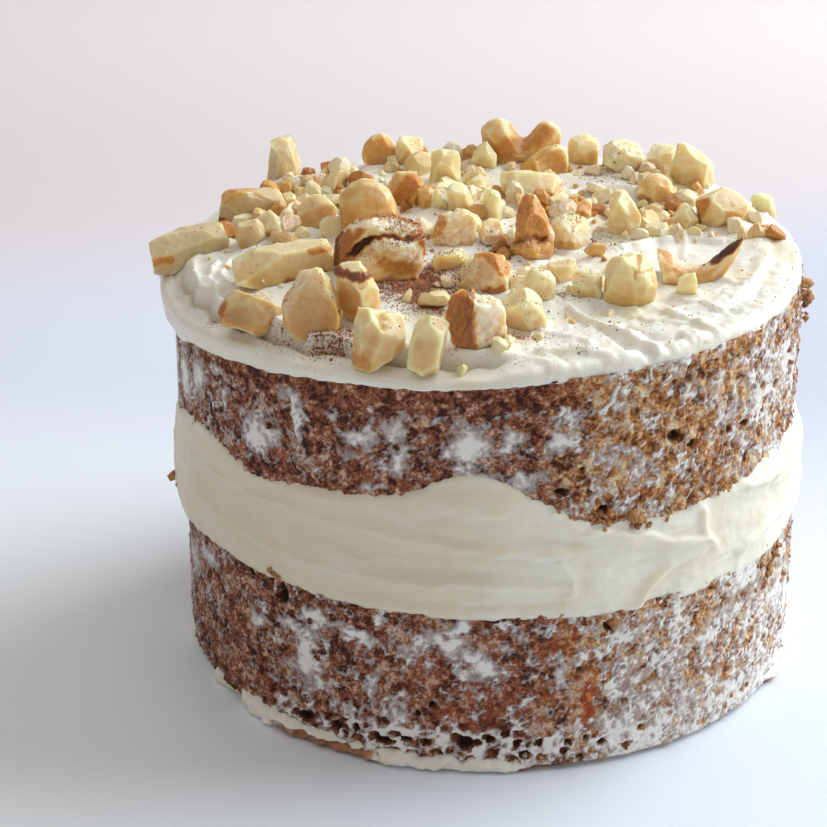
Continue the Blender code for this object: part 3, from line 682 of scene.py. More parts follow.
KNIFE_MARKS = [
    # On the filling: (bearing, height) corners, half width and how far it stands out.
    ([(-64, 29.4), (-42, 30.0), (-28, 30.1), (-12, 29.7), (0, 28.6), (13, 28.0)], 0.9, 0.36),
    ([(-52, 24.4), (-35, 24.1), (-20, 24.0), (-8, 24.4), (1, 24.7), (10, 24.0)], 0.9, 0.38),
    ([(-60, 26.8), (-40, 27.2), (-20, 27.0), (-2, 26.2)], 1.9, -0.42),
    ([(-40, 22.3), (-15, 22.2), (12, 21.9)], 1.1, -0.26),
    ([(41, 26.1), (36, 27.0), (28, 28.9), (18, 30.4)], 1.0, 0.42),
    ([(27, 20.1), (28.4, 22), (33, 24.3), (39, 24.7)], 0.9, 0.40),
    ([(43, 25), (40.5, 27), (40, 30)], 0.9, 0.36),
    ([(44, 28.6), (60, 28)], 1.6, -0.34),
    ([(-9, 30.3), (-4, 29.2), (3, 28.6)], 0.6, 0.26),
    ([(12, 27.0), (14.5, 25.0), (14, 23.2)], 0.7, 0.20),
    ([(-4, 33.6), (2, 33.8)], 2.4, 0.30),
    ([(8, 30.6), (14, 29.8)], 1.2, -0.22),
    ([(22, 25.4), (30, 25.9)], 0.8, -0.24),
    ([(-22, 25.2), (-17, 27.2), (-12, 26.4)], 0.5, 0.12),
    ([(52, 30.0), (62, 29.2), (72, 30.2)], 0.9, 0.40),
    ([(50, 22.4), (60, 23.6), (70, 22.8)], 0.9, 0.36),
]


def filling():
    """The cream between the rounds: level ridges and hollows from the palette knife, lapping both
    sponges."""
    columns, rows = 800, 60
    bearing = np.linspace(-180, 180, columns, endpoint=False)
    edge = polar(bearing, 38.0, 0.0)
    low = lower_top(bearing) - 0.1 + 0.35 * noise(edge, 5.0, 51) + 0.30 * noise(edge, 1.3, 52)
    high = upper_base(bearing) + 0.1 + 0.35 * noise(edge, 5.0, 53) + 0.30 * noise(edge, 1.3, 54)
    lap = BURY
    height = (low - lap + (high - low + 2 * lap) * np.linspace(0, 1, rows)[:, None])
    inside = np.minimum(height - low, high - height)
    level = np.clip((height - low) / (high - low), 0, 1)
    round_cake = lower_radius(bearing) * (1 - level) + upper_radius(bearing) * level
    belly_share = np.sin(np.pi * level) ** 0.7
    radius = round_cake + (filling_radius(bearing) - round_cake) * belly_share
    radius += np.where(inside > 0, 0.38 * (1 - np.exp(-np.clip(inside, 0, None) / 0.5)), 1.4 * inside)
    round_bearing = np.broadcast_to(bearing, height.shape)
    places = polar(round_bearing, 38.0, height).reshape(-1, 3)
    flat = np.column_stack([np.radians(round_bearing).reshape(-1) * 38, height.reshape(-1)])
    flat += 0.35 * np.column_stack([noise(places, 2.4, 61), noise(places, 2.4, 62)])
    relief = 0.20 * noise(places, 5.0, 55, (1.8, 1.8, 0.5)) + 0.07 * noise(places, 2.0, 56, (2.0, 2.0, 0.35))
    relief += 0.22 * noise(places, 9.0, 57) + 0.06 * noise(places, 1.3, 58)
    for corners, width, tall in KNIFE_MARKS:
        relief += stroke(flat, [(math.radians(b) * 38, z) for b, z in corners], width, 1.25 * tall)
    crests = creases(places, 6.0, 59, (2.6, 2.6, 0.62)) * smooth_step(-0.1, 0.5, noise(places, 8.0, 60))
    behind = 0.35 + 0.65 * (1 - window(flat[:, 0] / 38 * 57.3, -60, 60, 12))
    relief += 0.45 * crests * behind + 0.10 * creases(places, 2.6, 63, (1.8, 1.8, 0.8)) * smooth_step(0.0, 0.4, noise(places, 5.0, 64))
    fade = smooth_step(0.0, 1.0, inside).reshape(-1)
    radius = radius + (relief * fade).reshape(height.shape)
    points = polar(round_bearing, radius, height)
    # Painted shade over the left-hand side of the filling, away from the light.
    warmth_and_shade = window(np.broadcast_to(round_bearing, height.shape), -100, -18, 30)
    made = shell("filling", points, (20, 32), looks["filling"], {"warmth_and_shade": warmth_and_shade})
    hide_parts("cream_filling")


def foot():
    """The cream squeezed out round the foot, with the browned outside of the sponge showing under it at the front left,
    and a thin line of painted shade along its bottom at the right front, where it meets the table.
    """
    columns, rows = 900, 22
    bearing = np.linspace(-180, 180, columns, endpoint=False)
    edge = polar(bearing, 38.0, 0.0)
    top = foot_top(bearing) * (0.66 + 0.20 * noise(edge, 4.0, 71) + 0.16 * noise(edge, 1.4, 72)) + 0.2
    crusty = window(bearing, -35, -24, 11) * smooth_step(-0.9, -0.1, noise(edge, 2.4, 75))
    shown = window(bearing, 10, 66, 8) * smooth_step(-0.7, -0.1, noise(edge, 3.0, 78))
    level = np.linspace(0, 1, rows)[:, None]
    height = level * top
    inner = lower_radius(bearing)
    outer = foot_radius(bearing)
    swell = np.sin(np.pi * np.clip(level * 0.82 + 0.16, 0, 1)) ** 0.6
    radius = inner - 0.9 + (outer - inner + 0.9) * swell
    places = polar(np.broadcast_to(bearing, height.shape), 38.0, height).reshape(-1, 3)
    rough = 0.42 * noise(places, 1.8, 73) + 0.20 * noise(places, 0.8, 74) + 0.3 * creases(places, 2.4, 76)
    radius = radius + rough.reshape(height.shape) * smooth_step(1.0, 0.8, level)
    radius -= 0.75 * crusty * smooth_step(1.7, 1.2, height) + 0.35 * smooth_step(0.5, 0.0, height)
    # Painted shade: a thin line along the bottom at the right front, where the cream meets the table, takes the same
    # brown as the crust at the front left.
    line = shown * smooth_step(0.75, 0.50, height)
    radius -= 0.12 * line
    crust_and_shade = np.maximum(crusty * smooth_step(1.7, 1.3, height), line)
    points = polar(np.broadcast_to(bearing, height.shape), radius, height)
    made = shell("foot", points, (0, 1), looks["foot"], {"crust_and_shade": crust_and_shade})
    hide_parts("cream_foot")


STROKES = [
    # Ridges that the palette knife leaves: (x, y) corners, half width and height in millimetres.
    ([(9, -23), (12, -27), (16, -31), (19, -33)], 0.9, 0.7),
    ([(6, -34.5), (10, -34), (14, -34.6), (17, -33.2)], 0.7, 0.55),
    ([(20, -23), (23, -26), (25.5, -27.5)], 0.9, 0.6),
    ([(12, -36), (16, -35), (20, -32), (24, -28.5)], 0.8, 0.5),
    ([(15, -27), (18, -29.5), (22, -30.4)], 0.5, -0.55), ([(13, -29.5), (16, -32.6), (19.5, -33.4)], 0.45, -0.5),
    ([(22, -20), (26, -22), (28.5, -21.5)], 0.6, 0.5), ([(17, -24.5), (21, -26.5), (24, -26)], 0.5, 0.45),
    ([(26, -13), (29, -14.5), (31, -13.5)], 0.7, 0.5), ([(4, -28), (8, -30), (11, -32.5)], 0.6, 0.35),
    ([(28, -18), (31, -12), (33, -5), (33.5, 2)], 1.3, 0.55),
    ([(27, -21), (30, -17), (32.5, -10)], 0.7, -0.4),
    ([(-30, -15), (-31.5, -10), (-31, -6)], 0.5, 0.5),
    ([(-31.2, -15.5), (-33, -10.5), (-32.5, -6)], 0.45, 0.5),
    ([(-29, -14), (-29.8, -9.5), (-29.2, -5)], 0.45, 0.45),
    ([(-34, -12), (-35.2, -6), (-35, 0)], 0.7, 0.4),
    ([(16, -3), (20, 0), (24, 1), (28, 0)], 1.4, 0.8),
    ([(10, 18), (14, 20), (18, 19)], 1.3, 0.7),
    ([(-2, -36), (3, -35.6), (7, -36.2)], 0.8, 0.35),
]


SWIRL_DEPTH, SWIRL_TURNS, RIM_POWER = 0.5, 2.4, 10


def rim_and_front(xy):
    """How far each place is outside the topping's rim, give or take a waver, and how far it is in
    the front left stretch, where the cream steps down to a lower lip."""
    reach = np.hypot(xy[:, 0], xy[:, 1])
    bearing = np.degrees(np.arctan2(xy[:, 0], -xy[:, 1]))
    waver = 0.55 * noise(np.column_stack([xy, np.zeros(len(xy))]), 3.0, 85)
    return reach - topping_radius(bearing) + waver, window(bearing, -76, -2, 10)


def fold_shade_at(xy):
    """How close each place is to the foot of that step, where the cream is darkened as painted shade."""
    rim, front = rim_and_front(xy)
    return front * np.exp(-((rim + 2.55) / 0.34) ** 2)


def topping_height(xy):
    """The height of the spread cream at (n, 2) places, without the walnuts."""
    reach = np.hypot(xy[:, 0], xy[:, 1])
    bearing = np.degrees(np.arctan2(xy[:, 0], -xy[:, 1]))
    share = np.clip(reach / 38.0, 0, 1)
    edge = topping_middle + (topping_shoulder(bearing) - topping_middle) / 0.975**RIM_POWER
    height = topping_middle + (edge - topping_middle) * share**RIM_POWER
    height += SWIRL_DEPTH * np.sin(2 * np.pi * (SWIRL_TURNS * share + bearing / 360)) * share * (1 - share**6)
    flat = np.column_stack([xy, np.zeros(len(xy))])
    turned = np.column_stack([reach, 5 * np.sin(np.radians(bearing)), 5 * np.cos(np.radians(bearing))])
    height += 0.30 * noise(flat, 6.5, 81) + 0.16 * noise(flat, 2.6, 82) + 0.20 * noise(turned, 2.0, 83)
    height += 0.05 * noise(flat, 1.0, 84)
    bent = xy + 0.45 * np.column_stack([noise(flat, 2.2, 86), noise(flat, 2.2, 87)])
    for corners, width, tall in STROKES:
        height += stroke(bent, corners, width, tall)
    height += 0.30 * creases(turned, 2.6, 88, (1, 2.2, 2.2)) * smooth_step(0.0, 0.45, noise(flat, 5.0, 89))
    rim, front = rim_and_front(xy)
    height -= front * (1.15 * smooth_step(-3.2, -2.7, rim) + 0.40 * np.exp(-((rim + 2.5) / 0.28) ** 2))
    height += 0.35 * front * np.exp(-((rim + 3.6) / 0.6) ** 2)
    rugged = smooth_step(2, 10, xy[:, 0]) * smooth_step(-6, -14, xy[:, 1])
    torn = creases(flat, 3.0, 95, (1.5, 0.8, 1)) - 0.6 * creases(flat, 1.7, 96)
    return height + rugged * (0.22 * torn + 0.10 * noise(flat, 1.2, 97))


DUST = [
    # Cinnamon sifted on: (x, y), half width and half depth in millimetres, and how much.
    (-8, -14.5, 6.6, 6.8, 1.15), (-6, -20, 4.8, 4.6, 1.0), (-16.5, -29.8, 4.6, 2.6, 0.78), (-22, -27, 3.4, 2.2, 0.52),
    (3, -30.5, 4.2, 2.4, 0.62), (-2, -33.4, 3.4, 1.6, 0.55), (8, -18, 4.4, 2.6, 0.50), (11, -0.5, 5.0, 3.2, 0.62),
    (2, -4, 3.2, 3.2, 0.95), (6, -9.5, 4.0, 3.0, 0.50), (-27.6, -21.7, 2.0, 1.4, 0.55), (-31.5, -20, 1.6, 1.2, 0.6),
    (-3, 4, 5.0, 4.0, 0.45), (8, 9, 4.5, 4.0, 0.35), (-20, 9, 4.0, 3.0, 0.3), (-6, 28, 5.0, 3.0, 0.3),
    (14, 24, 5.0, 4.0, 0.35), (20, 10, 4.0, 3.0, 0.45), (25, -29.5, 1.3, 0.9, 0.7), (10.5, -34, 1.2, 0.8, 0.5),
]


def dust_at(xy):
    total = np.zeros(len(xy))
    for x, y, wide, deep, amount in DUST:
        total = np.maximum(total, amount * np.exp(-((xy[:, 0] - x) / wide) ** 2 - ((xy[:, 1] - y) / deep) ** 2))
    return total


def topping(nuts):
    """The spread cream on top, drawn up a little round each walnut."""
    columns, side_rows, roll_rows, top_rows = 720, 14, 8, 100
    bearing = np.linspace(-180, 180, columns, endpoint=False)
    radius, inner = topping_radius(bearing), upper_radius(bearing)
    edge_places = polar(bearing, 38.0, 0.0)
    low = upper_top(bearing) - BURY / 2 + 0.30 * noise(edge_places, 4.0, 91) + 0.16 * noise(edge_places, 1.2, 92)
    roll = 1.1
    edge_xy = polar(bearing, radius - roll, 0.0)[:, :2]
    crest = topping_height(edge_xy)
    rows = []
    for t in np.linspace(0, 1, side_rows, endpoint=False):
        height = low + (crest - roll - low) * t
        lip = smooth_step(0.0, 2.6, height - (crest - 5.0))
        reach = inner + 0.12 + (radius - inner - 0.12) * lip - 1.2 * smooth_step(0.6, 0.0, height - low)
        rows.append(polar(bearing, reach, height))
    for t in np.linspace(0, math.pi / 2, roll_rows, endpoint=False):
        rows.append(polar(bearing, radius - roll * (1 - math.cos(t)), crest - roll * (1 - math.sin(t))))
    for share in np.linspace(1, 0.003, top_rows) ** 0.66:
        place = polar(bearing, (radius - roll) * share, 0.0)
        place[:, 2] = topping_height(place[:, :2])
        rows.append(place)
    points = np.array(rows)
    skirt = points[:side_rows + roll_rows].reshape(-1, 3)
    wave = 0.22 * noise(skirt, 3.4, 93, (1.4, 1.4, 0.7)) + 0.07 * noise(skirt, 1.2, 94)
    outward = skirt / np.maximum(np.hypot(skirt[:, 0], skirt[:, 1]), 1)[:, None]
    outward[:, 2] = 0
    points[:side_rows + roll_rows] = (skirt + outward * wave[:, None]).reshape(-1, columns, 3)
    flat = points[side_rows + roll_rows:].reshape(-1, 3)
    flat[:, 2] += drawn_up(flat, nuts)
    points[side_rows + roll_rows:] = flat.reshape(-1, columns, 3)
    dust = dust_at(points.reshape(-1, 3)[:, :2])
    dust *= 1 + 0.55 * noise(points.reshape(-1, 3), 2.4, 98) + 0.35 * noise(points.reshape(-1, 3), 1.0, 99)
    dust *= np.repeat(np.arange(len(points)) >= side_rows, columns)
    # Painted shade along the foot of the step at the front left, on the top rows only.
    fold_shade = fold_shade_at(points.reshape(-1, 3)[:, :2]) * np.repeat(np.arange(len(points)) >= side_rows + roll_rows, columns)
    made = shell("topping", points, (47, points[-1, 0, 2]), looks["topping"],
                 {"dust": dust, "fold_shade": fold_shade})
    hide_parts("cream_topping")
    return made


def drawn_up(places, nuts):
    """How much higher the cream stands close to a walnut."""
    tree = nuts_tree(nuts)
    rise = np.zeros(len(places))
    for i, place in enumerate(places):
        hit = tree.find_nearest(Vector(place) * MM, 1.6 * MM)
        if hit[3] is not None:
            rise[i] = 0.42 * math.exp(-((hit[3] / MM / 0.75) ** 2))
    return rise


def nuts_tree(nuts):
    """One search tree of all the walnut meshes."""
    verts, faces = [], []
    for nut in nuts:
        start = len(verts)
        verts.extend(v.co for v in nut.data.vertices)
        faces.extend([start + i for i in p.vertices] for p in nut.data.polygons)
    return BVHTree.FromPolygons(verts, faces)


# ---------------------------------------------------------------- the walnuts

# How each piece is broken: gold is how deep a brown gold its flesh is and rough how crumbled its breaks
# are. Each cut takes off what lies beyond a plane, given by its direction and its distance from the
# piece's middle, where 1 is the side of its box; a number asks for that many cuts at random.
NUTS = {
    "left_slab": (0.24, 0.2, [((-0.5, 0.2, 0.8), 0.98), ((0.2, -1, 0.3), 0.95)]),
    "left_skin": (0.40, 0.3, [((0.6, -0.4, 0.8), 0.90), ((-1, -0.2, 0.5), 1.0)]),
    "back_left_spire": (0.18, 0.3, [((0.9, 0, 0.5), 0.85), ((-0.9, -0.2, 0.25), 0.85)]),
    "left_nugget": (0.25, 0.4, 3),
    "left_crumb": (0.18, 0.5, 4),
    "left_block": (0.42, 0.1, [((-0.9, -0.2, 0.6), 0.85), ((0.8, 0.3, 0.7), 0.95), ((0, -1, 0.4), 0.9)]),
    "big_kernel": (0.70, 0.0, [((0.7, 0.1, 0.8), 1.05)]),
    "lobed_half": (0.50, 0.5, [((0.9, 0.1, 0.6), 1.05), ((-0.8, 0, 0.7), 1.0)]),
    "long_slab": (0.26, 0.2, [((-0.8, -0.1, 0.6), 1.0), ((0.1, -0.9, 0.5), 0.85)]),
    "front_left_wedge": (0.40, 0.1, [((-0.75, 0, 0.7), 0.80), ((0.7, -0.1, 0.75), 0.85), ((0, -0.8, 0.6), 0.95)]),
    "front_left_kernel": (0.42, 0.1, [((-0.8, -0.1, 0.5), 0.72), ((0.85, -0.1, 0.42), 0.72), ((0.1, -1, 0.25), 0.9)]),
    "leaning_slice": (0.34, 0.2, [((0.8, -0.1, 0.7), 0.75), ((-0.9, -0.5, -0.1), 0.80), ((-0.3, -0.6, -0.7), 1.0)]),
    "front_facet": (0.40, 0.2, [((-0.9, -0.2, 0.35), 0.82), ((0.7, -0.3, 0.75), 0.95), ((0.2, -1, -0.4), 0.92)]),
    "front_post": (0.30, 0.1, [((-0.2, -0.6, 0.8), 1.0), ((0.9, -0.3, 0.3), 0.90)]),
    "front_brown": (0.35, 0.8, [((-0.85, -0.6, 0.35), 0.62), ((0.7, 0, 0.75), 0.90), ((0.6, -0.8, 0.1), 0.95)]),
    "middle_wedge": (0.30, 0.1, [((-0.8, -0.2, -0.7), 0.80), ((0.9, -0.2, -0.3), 0.90), ((-0.2, 0, 1), 0.90)]),
    "middle_crumbly": (0.44, 0.9, [((-0.8, -0.4, 0.65), 0.60), ((0.85, -0.2, 0.5), 0.78)]),
    "clear_upper": (0.22, 0.3, [((-0.6, -0.5, 0.8), 0.95)]),
    "clear_lower": (0.26, 0.3, [((0.7, -0.5, 0.6), 0.95)]),
    "orange_flake": (0.95, 0.4, [((0.75, -0.2, 0.65), 0.58), ((-0.9, -0.4, 0.2), 0.78), ((0.3, -1, 0.3), 0.85)]),
    "white_crumbly": (0.12, 1.0, 3),
    "heart": (0.34, 0.1, [((-0.75, -0.1, 0.65), 0.86), ((0.3, -1, -0.1), 0.95)]),
    "curl": (0.60, 0.3, []),
    "front_chip": (0.22, 0.2, [((-0.7, -0.1, 0.8), 0.90), ((0.9, 0, 0.3), 0.80)]),
    "right_upright": (0.34, 0.3, [((0.8, 0, 0.65), 0.72), ((-0.9, -0.2, 0.35), 0.80)]),
    "right_wedge": (0.36, 0.1, [((0.7, 0, 0.75), 0.80), ((-0.7, -0.3, 0.6), 0.90)]),
    "right_arch": (0.48, 0.2, [((-0.8, -0.3, 0.6), 0.95)]),
    "rim_block": (0.32, 0.1, [((0.8, -0.2, 0.5), 0.92), ((-0.6, -0.4, 0.8), 1.0)]),
    "back_right_spire": (0.32, 0.2, [((0.75, 0, 0.6), 0.66), ((-0.95, 0, 0.3), 0.85)]),
    "round_tan": (0.42, 0.2, 2),
    "back_kernel": (0.60, 0.2, [((0.2, -0.2, 1), 0.92), ((0.9, 0, 0.5), 1.0)]),
    "back_orange": (0.75, 0.1, [((-0.7, -0.2, 0.8), 0.72)]),
    "back_tan": (0.48, 0.4, 3),
    "back_crumbly": (0.38, 0.9, 3),
    "back_rim_crumbly": (0.34, 0.9, 3),
    "back_wedge": (0.28, 0.3, [((-0.7, 0, 0.75), 0.70), ((0.8, 0, 0.5), 0.9)]),
    "back_pale": (0.30, 0.2, 3),
    "back_brown": (0.62, 0.2, [((0.6, -0.2, 0.8), 0.90)]),
    "back_yellow": (0.34, 0.2, 3),
    "orange_slice": (0.80, 0.2, [((-0.8, -0.4, 0.5), 0.80), ((0.7, 0, 0.7), 0.85)]),
    "small_sliver": (0.12, 0.2, [((0.7, -0.1, 0.7), 0.60), ((-0.8, -0.1, 0.4), 0.80)]),
    "middle_pale": (0.24, 0.4, 4),
    "white_sliver": (0.10, 0.2, [((-0.7, 0, 0.7), 0.80), ((0.9, -0.2, 0.2), 0.80)]),
    "pink_crumbly": (0.50, 0.9, 3),
    "centre_crumbly": (0.46, 0.9, 3),
    "back_middle_pale": (0.34, 0.3, 4),
    "small_tan": (0.60, 0.3, 3),
    "right_flat": (0.36, 0.3, 3),
    "flat_brown": (0.50, 0.3, 2),
    "dusted_yellow": (0.34, 0.4, 4),
}

# What shows on a piece from the front: lines of (across, up) millimetres from its middle with their
# half width, how far they stand out or in, and the brown skin and white crumb along them.
MARKS = {
    "left_slab": [([(-5.2, -1.0), (-4.4, -1.9), (-2.0, -1.6)], 0.6, 0.0, 0.45, 0)],
    "left_skin": [([(-4.2, -2.4), (-3.2, -2.9), (-1.5, -2.6)], 1.0, 0.0, 0.75, 0),
                  ([(-3.6, 1.0), (-1.0, 2.6)], 1.2, 0.0, 0.35, 0)],
    "big_kernel": [([(-3.6, -3.4), (-3.4, -1.4)], 0.8, 0.0, 0.45, 0), ([(0.6, 2.4), (2.0, 1.6)], 0.8, 0.0, 0, 0.4)],
    "lobed_half": [
        ([(-4.8, -2.2), (-4.0, 0.6), (-1.8, 2.8), (1.4, 3.4), (4.0, 2.2), (5.0, -0.2)], 0.90, 0.55, 0.60, 0.1),
        ([(-3.0, 2.0), (-1.0, 2.5), (1.2, 2.6), (3.4, 1.8)], 0.50, 0.20, 0.12, 0.95),
        ([(-3.8, -1.4), (-2.7, -0.1), (-1.2, 0.9)], 0.42, -0.8, 0.95, 0),
        ([(-1.2, 1.0), (1.2, 1.4), (3.6, 1.0)], 0.24, -0.5, 0.70, 0),
        ([(-0.6, 0.1), (1.8, 0.3), (3.8, -0.1)], 0.62, 0.25, 0, 1.0), ([(2.2, -0.8), (4.0, -1.2)], 0.55, 0.25, 0, 1.0),
        ([(0.2, -1.7), (2.0, -2.6), (3.2, -2.5)], 0.85, -0.35, 0.42, 0),
        ([(-3.4, -1.9), (-1.8, -1.6), (-1.0, -2.8)], 0.9, 0.25, 0, 0.35),
        ([(-5.4, -1.2), (-5.1, 1.4)], 0.8, 0.2, 0.85, 0),
    ],
    "long_slab": [([(0.5, -2.2), (2.5, -1.8), (4.4, -0.8)], 0.75, -0.15, 0.62, 0),
                  ([(-5.8, -0.6), (-5.2, 0.8)], 0.5, 0, 0, 0.5), ([(3.0, 1.6), (5.0, 2.0)], 0.5, 0.1, 0.4, 0)],
    "front_left_wedge": [([(-3.9, -1.2), (-3.2, 0.6)], 0.7, -0.1, 0.62, 0), ([(-2.4, -1.9), (2.4, -1.9)], 0.5, 0, 0.28, 0)],
    "front_left_kernel": [([(-2.6, -1.0), (-0.6, 3.2), (2.2, 0.4)], 0.6, 0.0, 0, 0.45)],
    "leaning_slice": [([(-2.6, 2.6), (-1.2, 2.0), (0.4, 1.6), (1.4, 2.2)], 0.55, 0.30, 0.80, 0),
                      ([(-1.8, 3.4), (-0.4, 2.8)], 0.5, 0.1, 0, 1.0), ([(-2.4, 3.6), (-2.9, 1.6)], 0.35, 0.1, 1.0, 0)],
    "front_facet": [([(0.6, 3.2), (1.0, 0.8)], 0.4, -0.6, 0.05, 0), ([(-2.8, -2.6), (-1.0, -3.2)], 0.9, 0, 0.45, 0)],
    "front_brown": [([(-2.2, 1.8), (-1.4, -0.4), (-1.2, -3.2)], 1.9, 0.0, 0.59, 0),
                    ([(-0.1, 3.2), (-0.5, 0.0), (0.2, -3.0)], 0.35, 0.25, 0.70, 0),
                    ([(1.4, 2.6), (2.0, 0.4), (1.6, -1.6)], 1.4, 0.1, 0, 1.0)],
    "middle_crumbly": [([(-0.6, 2.4), (1.2, 1.6), (2.4, 0.2)], 1.0, 0.1, 0.42, 0.3), ([(0.2, -2.6), (2.2, -2.2)], 0.6, 0, 0.62, 0)],
    "middle_wedge": [([(-1.6, -1.8), (1.0, -1.9)], 0.4, 0, 0.4, 0)],
    "orange_flake": [([(-2.2, -2.4), (0.4, -3.0), (1.8, -2.2)], 0.6, 0.45, 0.30, 0), ([(-1.8, -1.4), (1.6, -1.2)], 0.4, -0.5, 0.66, 0),
                     ([(-1.6, 2.6), (-0.4, 0.4), (1.2, 1.6)], 1.9, 0.0, 0.45, 0), ([(1.2, 3.6), (2.4, 1.4), (2.6, -1.0)], 0.55, 0.15, 0, 0.9)],
    "heart": [([(0.6, 3.8), (0.9, 1.6), (0.4, 0.2)], 0.45, -0.40, 0.12, 0), ([(0.6, 0.6), (2.8, 1.2)], 0.25, -0.15, 0.30, 0),
              ([(-2.4, -2.6), (2.0, -2.7)], 0.6, 0, 0.25, 0), ([(2.6, 0.6), (2.9, -1.4)], 0.5, 0, 0.25, 0.3)],
    "curl": [([(-4.2, 1.2), (-3.4, 0.0)], 0.7, 0.1, 0.42, 0), ([(-2.6, 0.0), (-0.6, -0.5), (1.2, -0.2)], 0.7, -0.2, 0.05, 1.0),
             ([(1.6, 0.3), (3.0, 1.3), (4.4, 2.8)], 0.75, 0.0, 0.92, 0), ([(-2.6, -1.4), (0.6, -1.9)], 0.9, 0.0, 0.34, 0)],
    "right_arch": [([(-3.2, -1.6), (-2.4, 0.6)], 0.9, 0.1, 0.48, 0), ([(0.4, -0.8), (2.4, -1.0)], 0.5, 0, 0.34, 0),
                   ([(0.2, 1.6), (2.6, 1.4)], 0.8, 0, 0.05, 0.7)],
    "round_tan": [([(-1.0, 1.0), (1.0, 0.8)], 1.4, 0, 0.25, 0.2)],
    "back_kernel": [([(-2.8, -2.2), (0.0, -1.0), (3.0, 0.4)], 1.6, -0.2, 0.46, 0), ([(-0.6, 1.4), (1.4, 1.2)], 1.2, 0.0, 0.34, 0)],
    "back_orange": [([(-2.4, -0.6), (1.8, 1.0)], 1.1, 0.1, 0.34, 0)],
    "back_brown": [([(-1.6, 0.2), (0.6, 1.0)], 1.5, 0.1, 0.34, 0)],
    "orange_slice": [([(-1.4, -1.6), (0.6, 1.4)], 1.5, 0, 0.50, 0)],
    "pink_crumbly": [([(-2.2, -0.4), (-1.6, 1.2)], 0.8, 0, 0.45, 0.3)],
    "small_tan": [([(-0.8, -0.6), (0.8, 0.4)], 1.2, 0, 0.42, 0)],
    "flat_brown": [([(-2.0, 0.0), (2.0, 0.2)], 1.6, 0, 0.55, 0)],
    "white_crumbly": [([(-1.6, -1.6), (1.0, -2.0)], 0.6, 0, 0.3, 0)],
    "left_nugget": [([(-1.0, -1.8), (1.2, -1.8)], 0.6, 0, 0.4, 0)],
    "left_block": [([(-1.6, -1.8), (1.8, -1.8)], 0.9, 0, 0.22, 0)],
}
FINE = ("lobed_half", "curl", "heart", "front_brown", "front_left_kernel", "orange_flake")
SADDLES = {"back_kernel": (0.4, 2.0, 0.50), "right_upright": (0.5, 0.8, 0.18)}
PLAIN = ("back_kernel", "big_kernel", "curl", "lobed_half", "left_slab", "long_slab")
VIEW_TILT = math.radians(24.13)


def remeshed(name):
    """A walnut's CAD solid, drawn down into the cream, as an even fine mesh with softened corners."""
    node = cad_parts["walnut_" + name]
    bm = bmesh.new()
    bm.from_mesh(node.data)
    bmesh.ops.remove_doubles(bm, verts=bm.verts, dist=1e-6)
    bm.normal_update()
    for v in bm.verts:
        if v.normal.z < -0.25:
            v.co.z -= BURY * MM
    mesh = bpy.data.meshes.new("nut_" + name)
    bm.to_mesh(mesh)
    bm.free()
    blank = bpy.data.objects.new("blank", mesh)
    bpy.context.scene.collection.objects.link(blank)
    fine = blank.modifiers.new("remesh", "REMESH")
    fine.mode = "VOXEL"
    fine.voxel_size = (0.20 if name in FINE else 0.25) * MM
    soft = blank.modifiers.new("soften", "SMOOTH")
    soft.factor = 0.5
    soft.iterations = 2
    made = bpy.data.meshes.new_from_object(blank.evaluated_get(bpy.context.evaluated_depsgraph_get()))
    bpy.data.objects.remove(blank)
    co = np.zeros(len(made.vertices) * 3)
    made.vertices.foreach_get("co", co)
    edges = np.zeros(len(made.edges) * 2, int)
    made.edges.foreach_get("vertices", edges)
    return co.reshape(-1, 3) / MM, [tuple(p.vertices) for p in made.polygons], edges.reshape(-1, 2)


def spread_out(values, edges, times=1):
    """Values at the vertices, each turned into the average of those next to it."""
    links = np.maximum(np.bincount(edges.ravel(), minlength=len(values)), 1)
    for _ in range(times):
        total = np.zeros_like(values)
        np.add.at(total, edges[:, 0], values[edges[:, 1]])
        np.add.at(total, edges[:, 1], values[edges[:, 0]])
        values = total / (links[:, None] if values.ndim > 1 else links)
    return values


def outward(points, faces):
    """Unit normals at the vertices."""
    quads = np.array([f if len(f) == 4 else (*f, f[0]) for f in faces])
    normal = np.cross(points[quads[:, 2]] - points[quads[:, 0]], points[quads[:, 3]] - points[quads[:, 1]])
    total = np.zeros_like(points)
    for k in range(4):
        np.add.at(total, quads[:, k], normal)
    return total / np.maximum(np.linalg.norm(total, axis=1), 1e-9)[:, None]


def cleaved(points, rng, size, planes, hollows):
    """Points of a lump broken along planes at random and along broad shallow hollows."""
    for _ in range(planes):
        way = rng.normal(size=3) + (0, -0.35, 0.3)
        way /= np.linalg.norm(way)
        along = points @ way
        beyond = np.clip(along - along.max() + size * rng.uniform(0.12, 0.36), 0, None)
        points = points - beyond[:, None] * way
    for _ in range(hollows):
        way = rng.normal(size=3) + (0, -0.6, 0.4)
        way /= np.linalg.norm(way)
        reach = size * rng.uniform(0.9, 1.9)
        centre = points.mean(axis=0)
        scoop = centre + way * ((points @ way).max() - centre @ way + reach * rng.uniform(0.78, 0.90))
        away = points - scoop
        gap = np.linalg.norm(away, axis=1)[:, None]
        points = np.where(gap < reach, scoop + away / gap * reach, points)
    return points


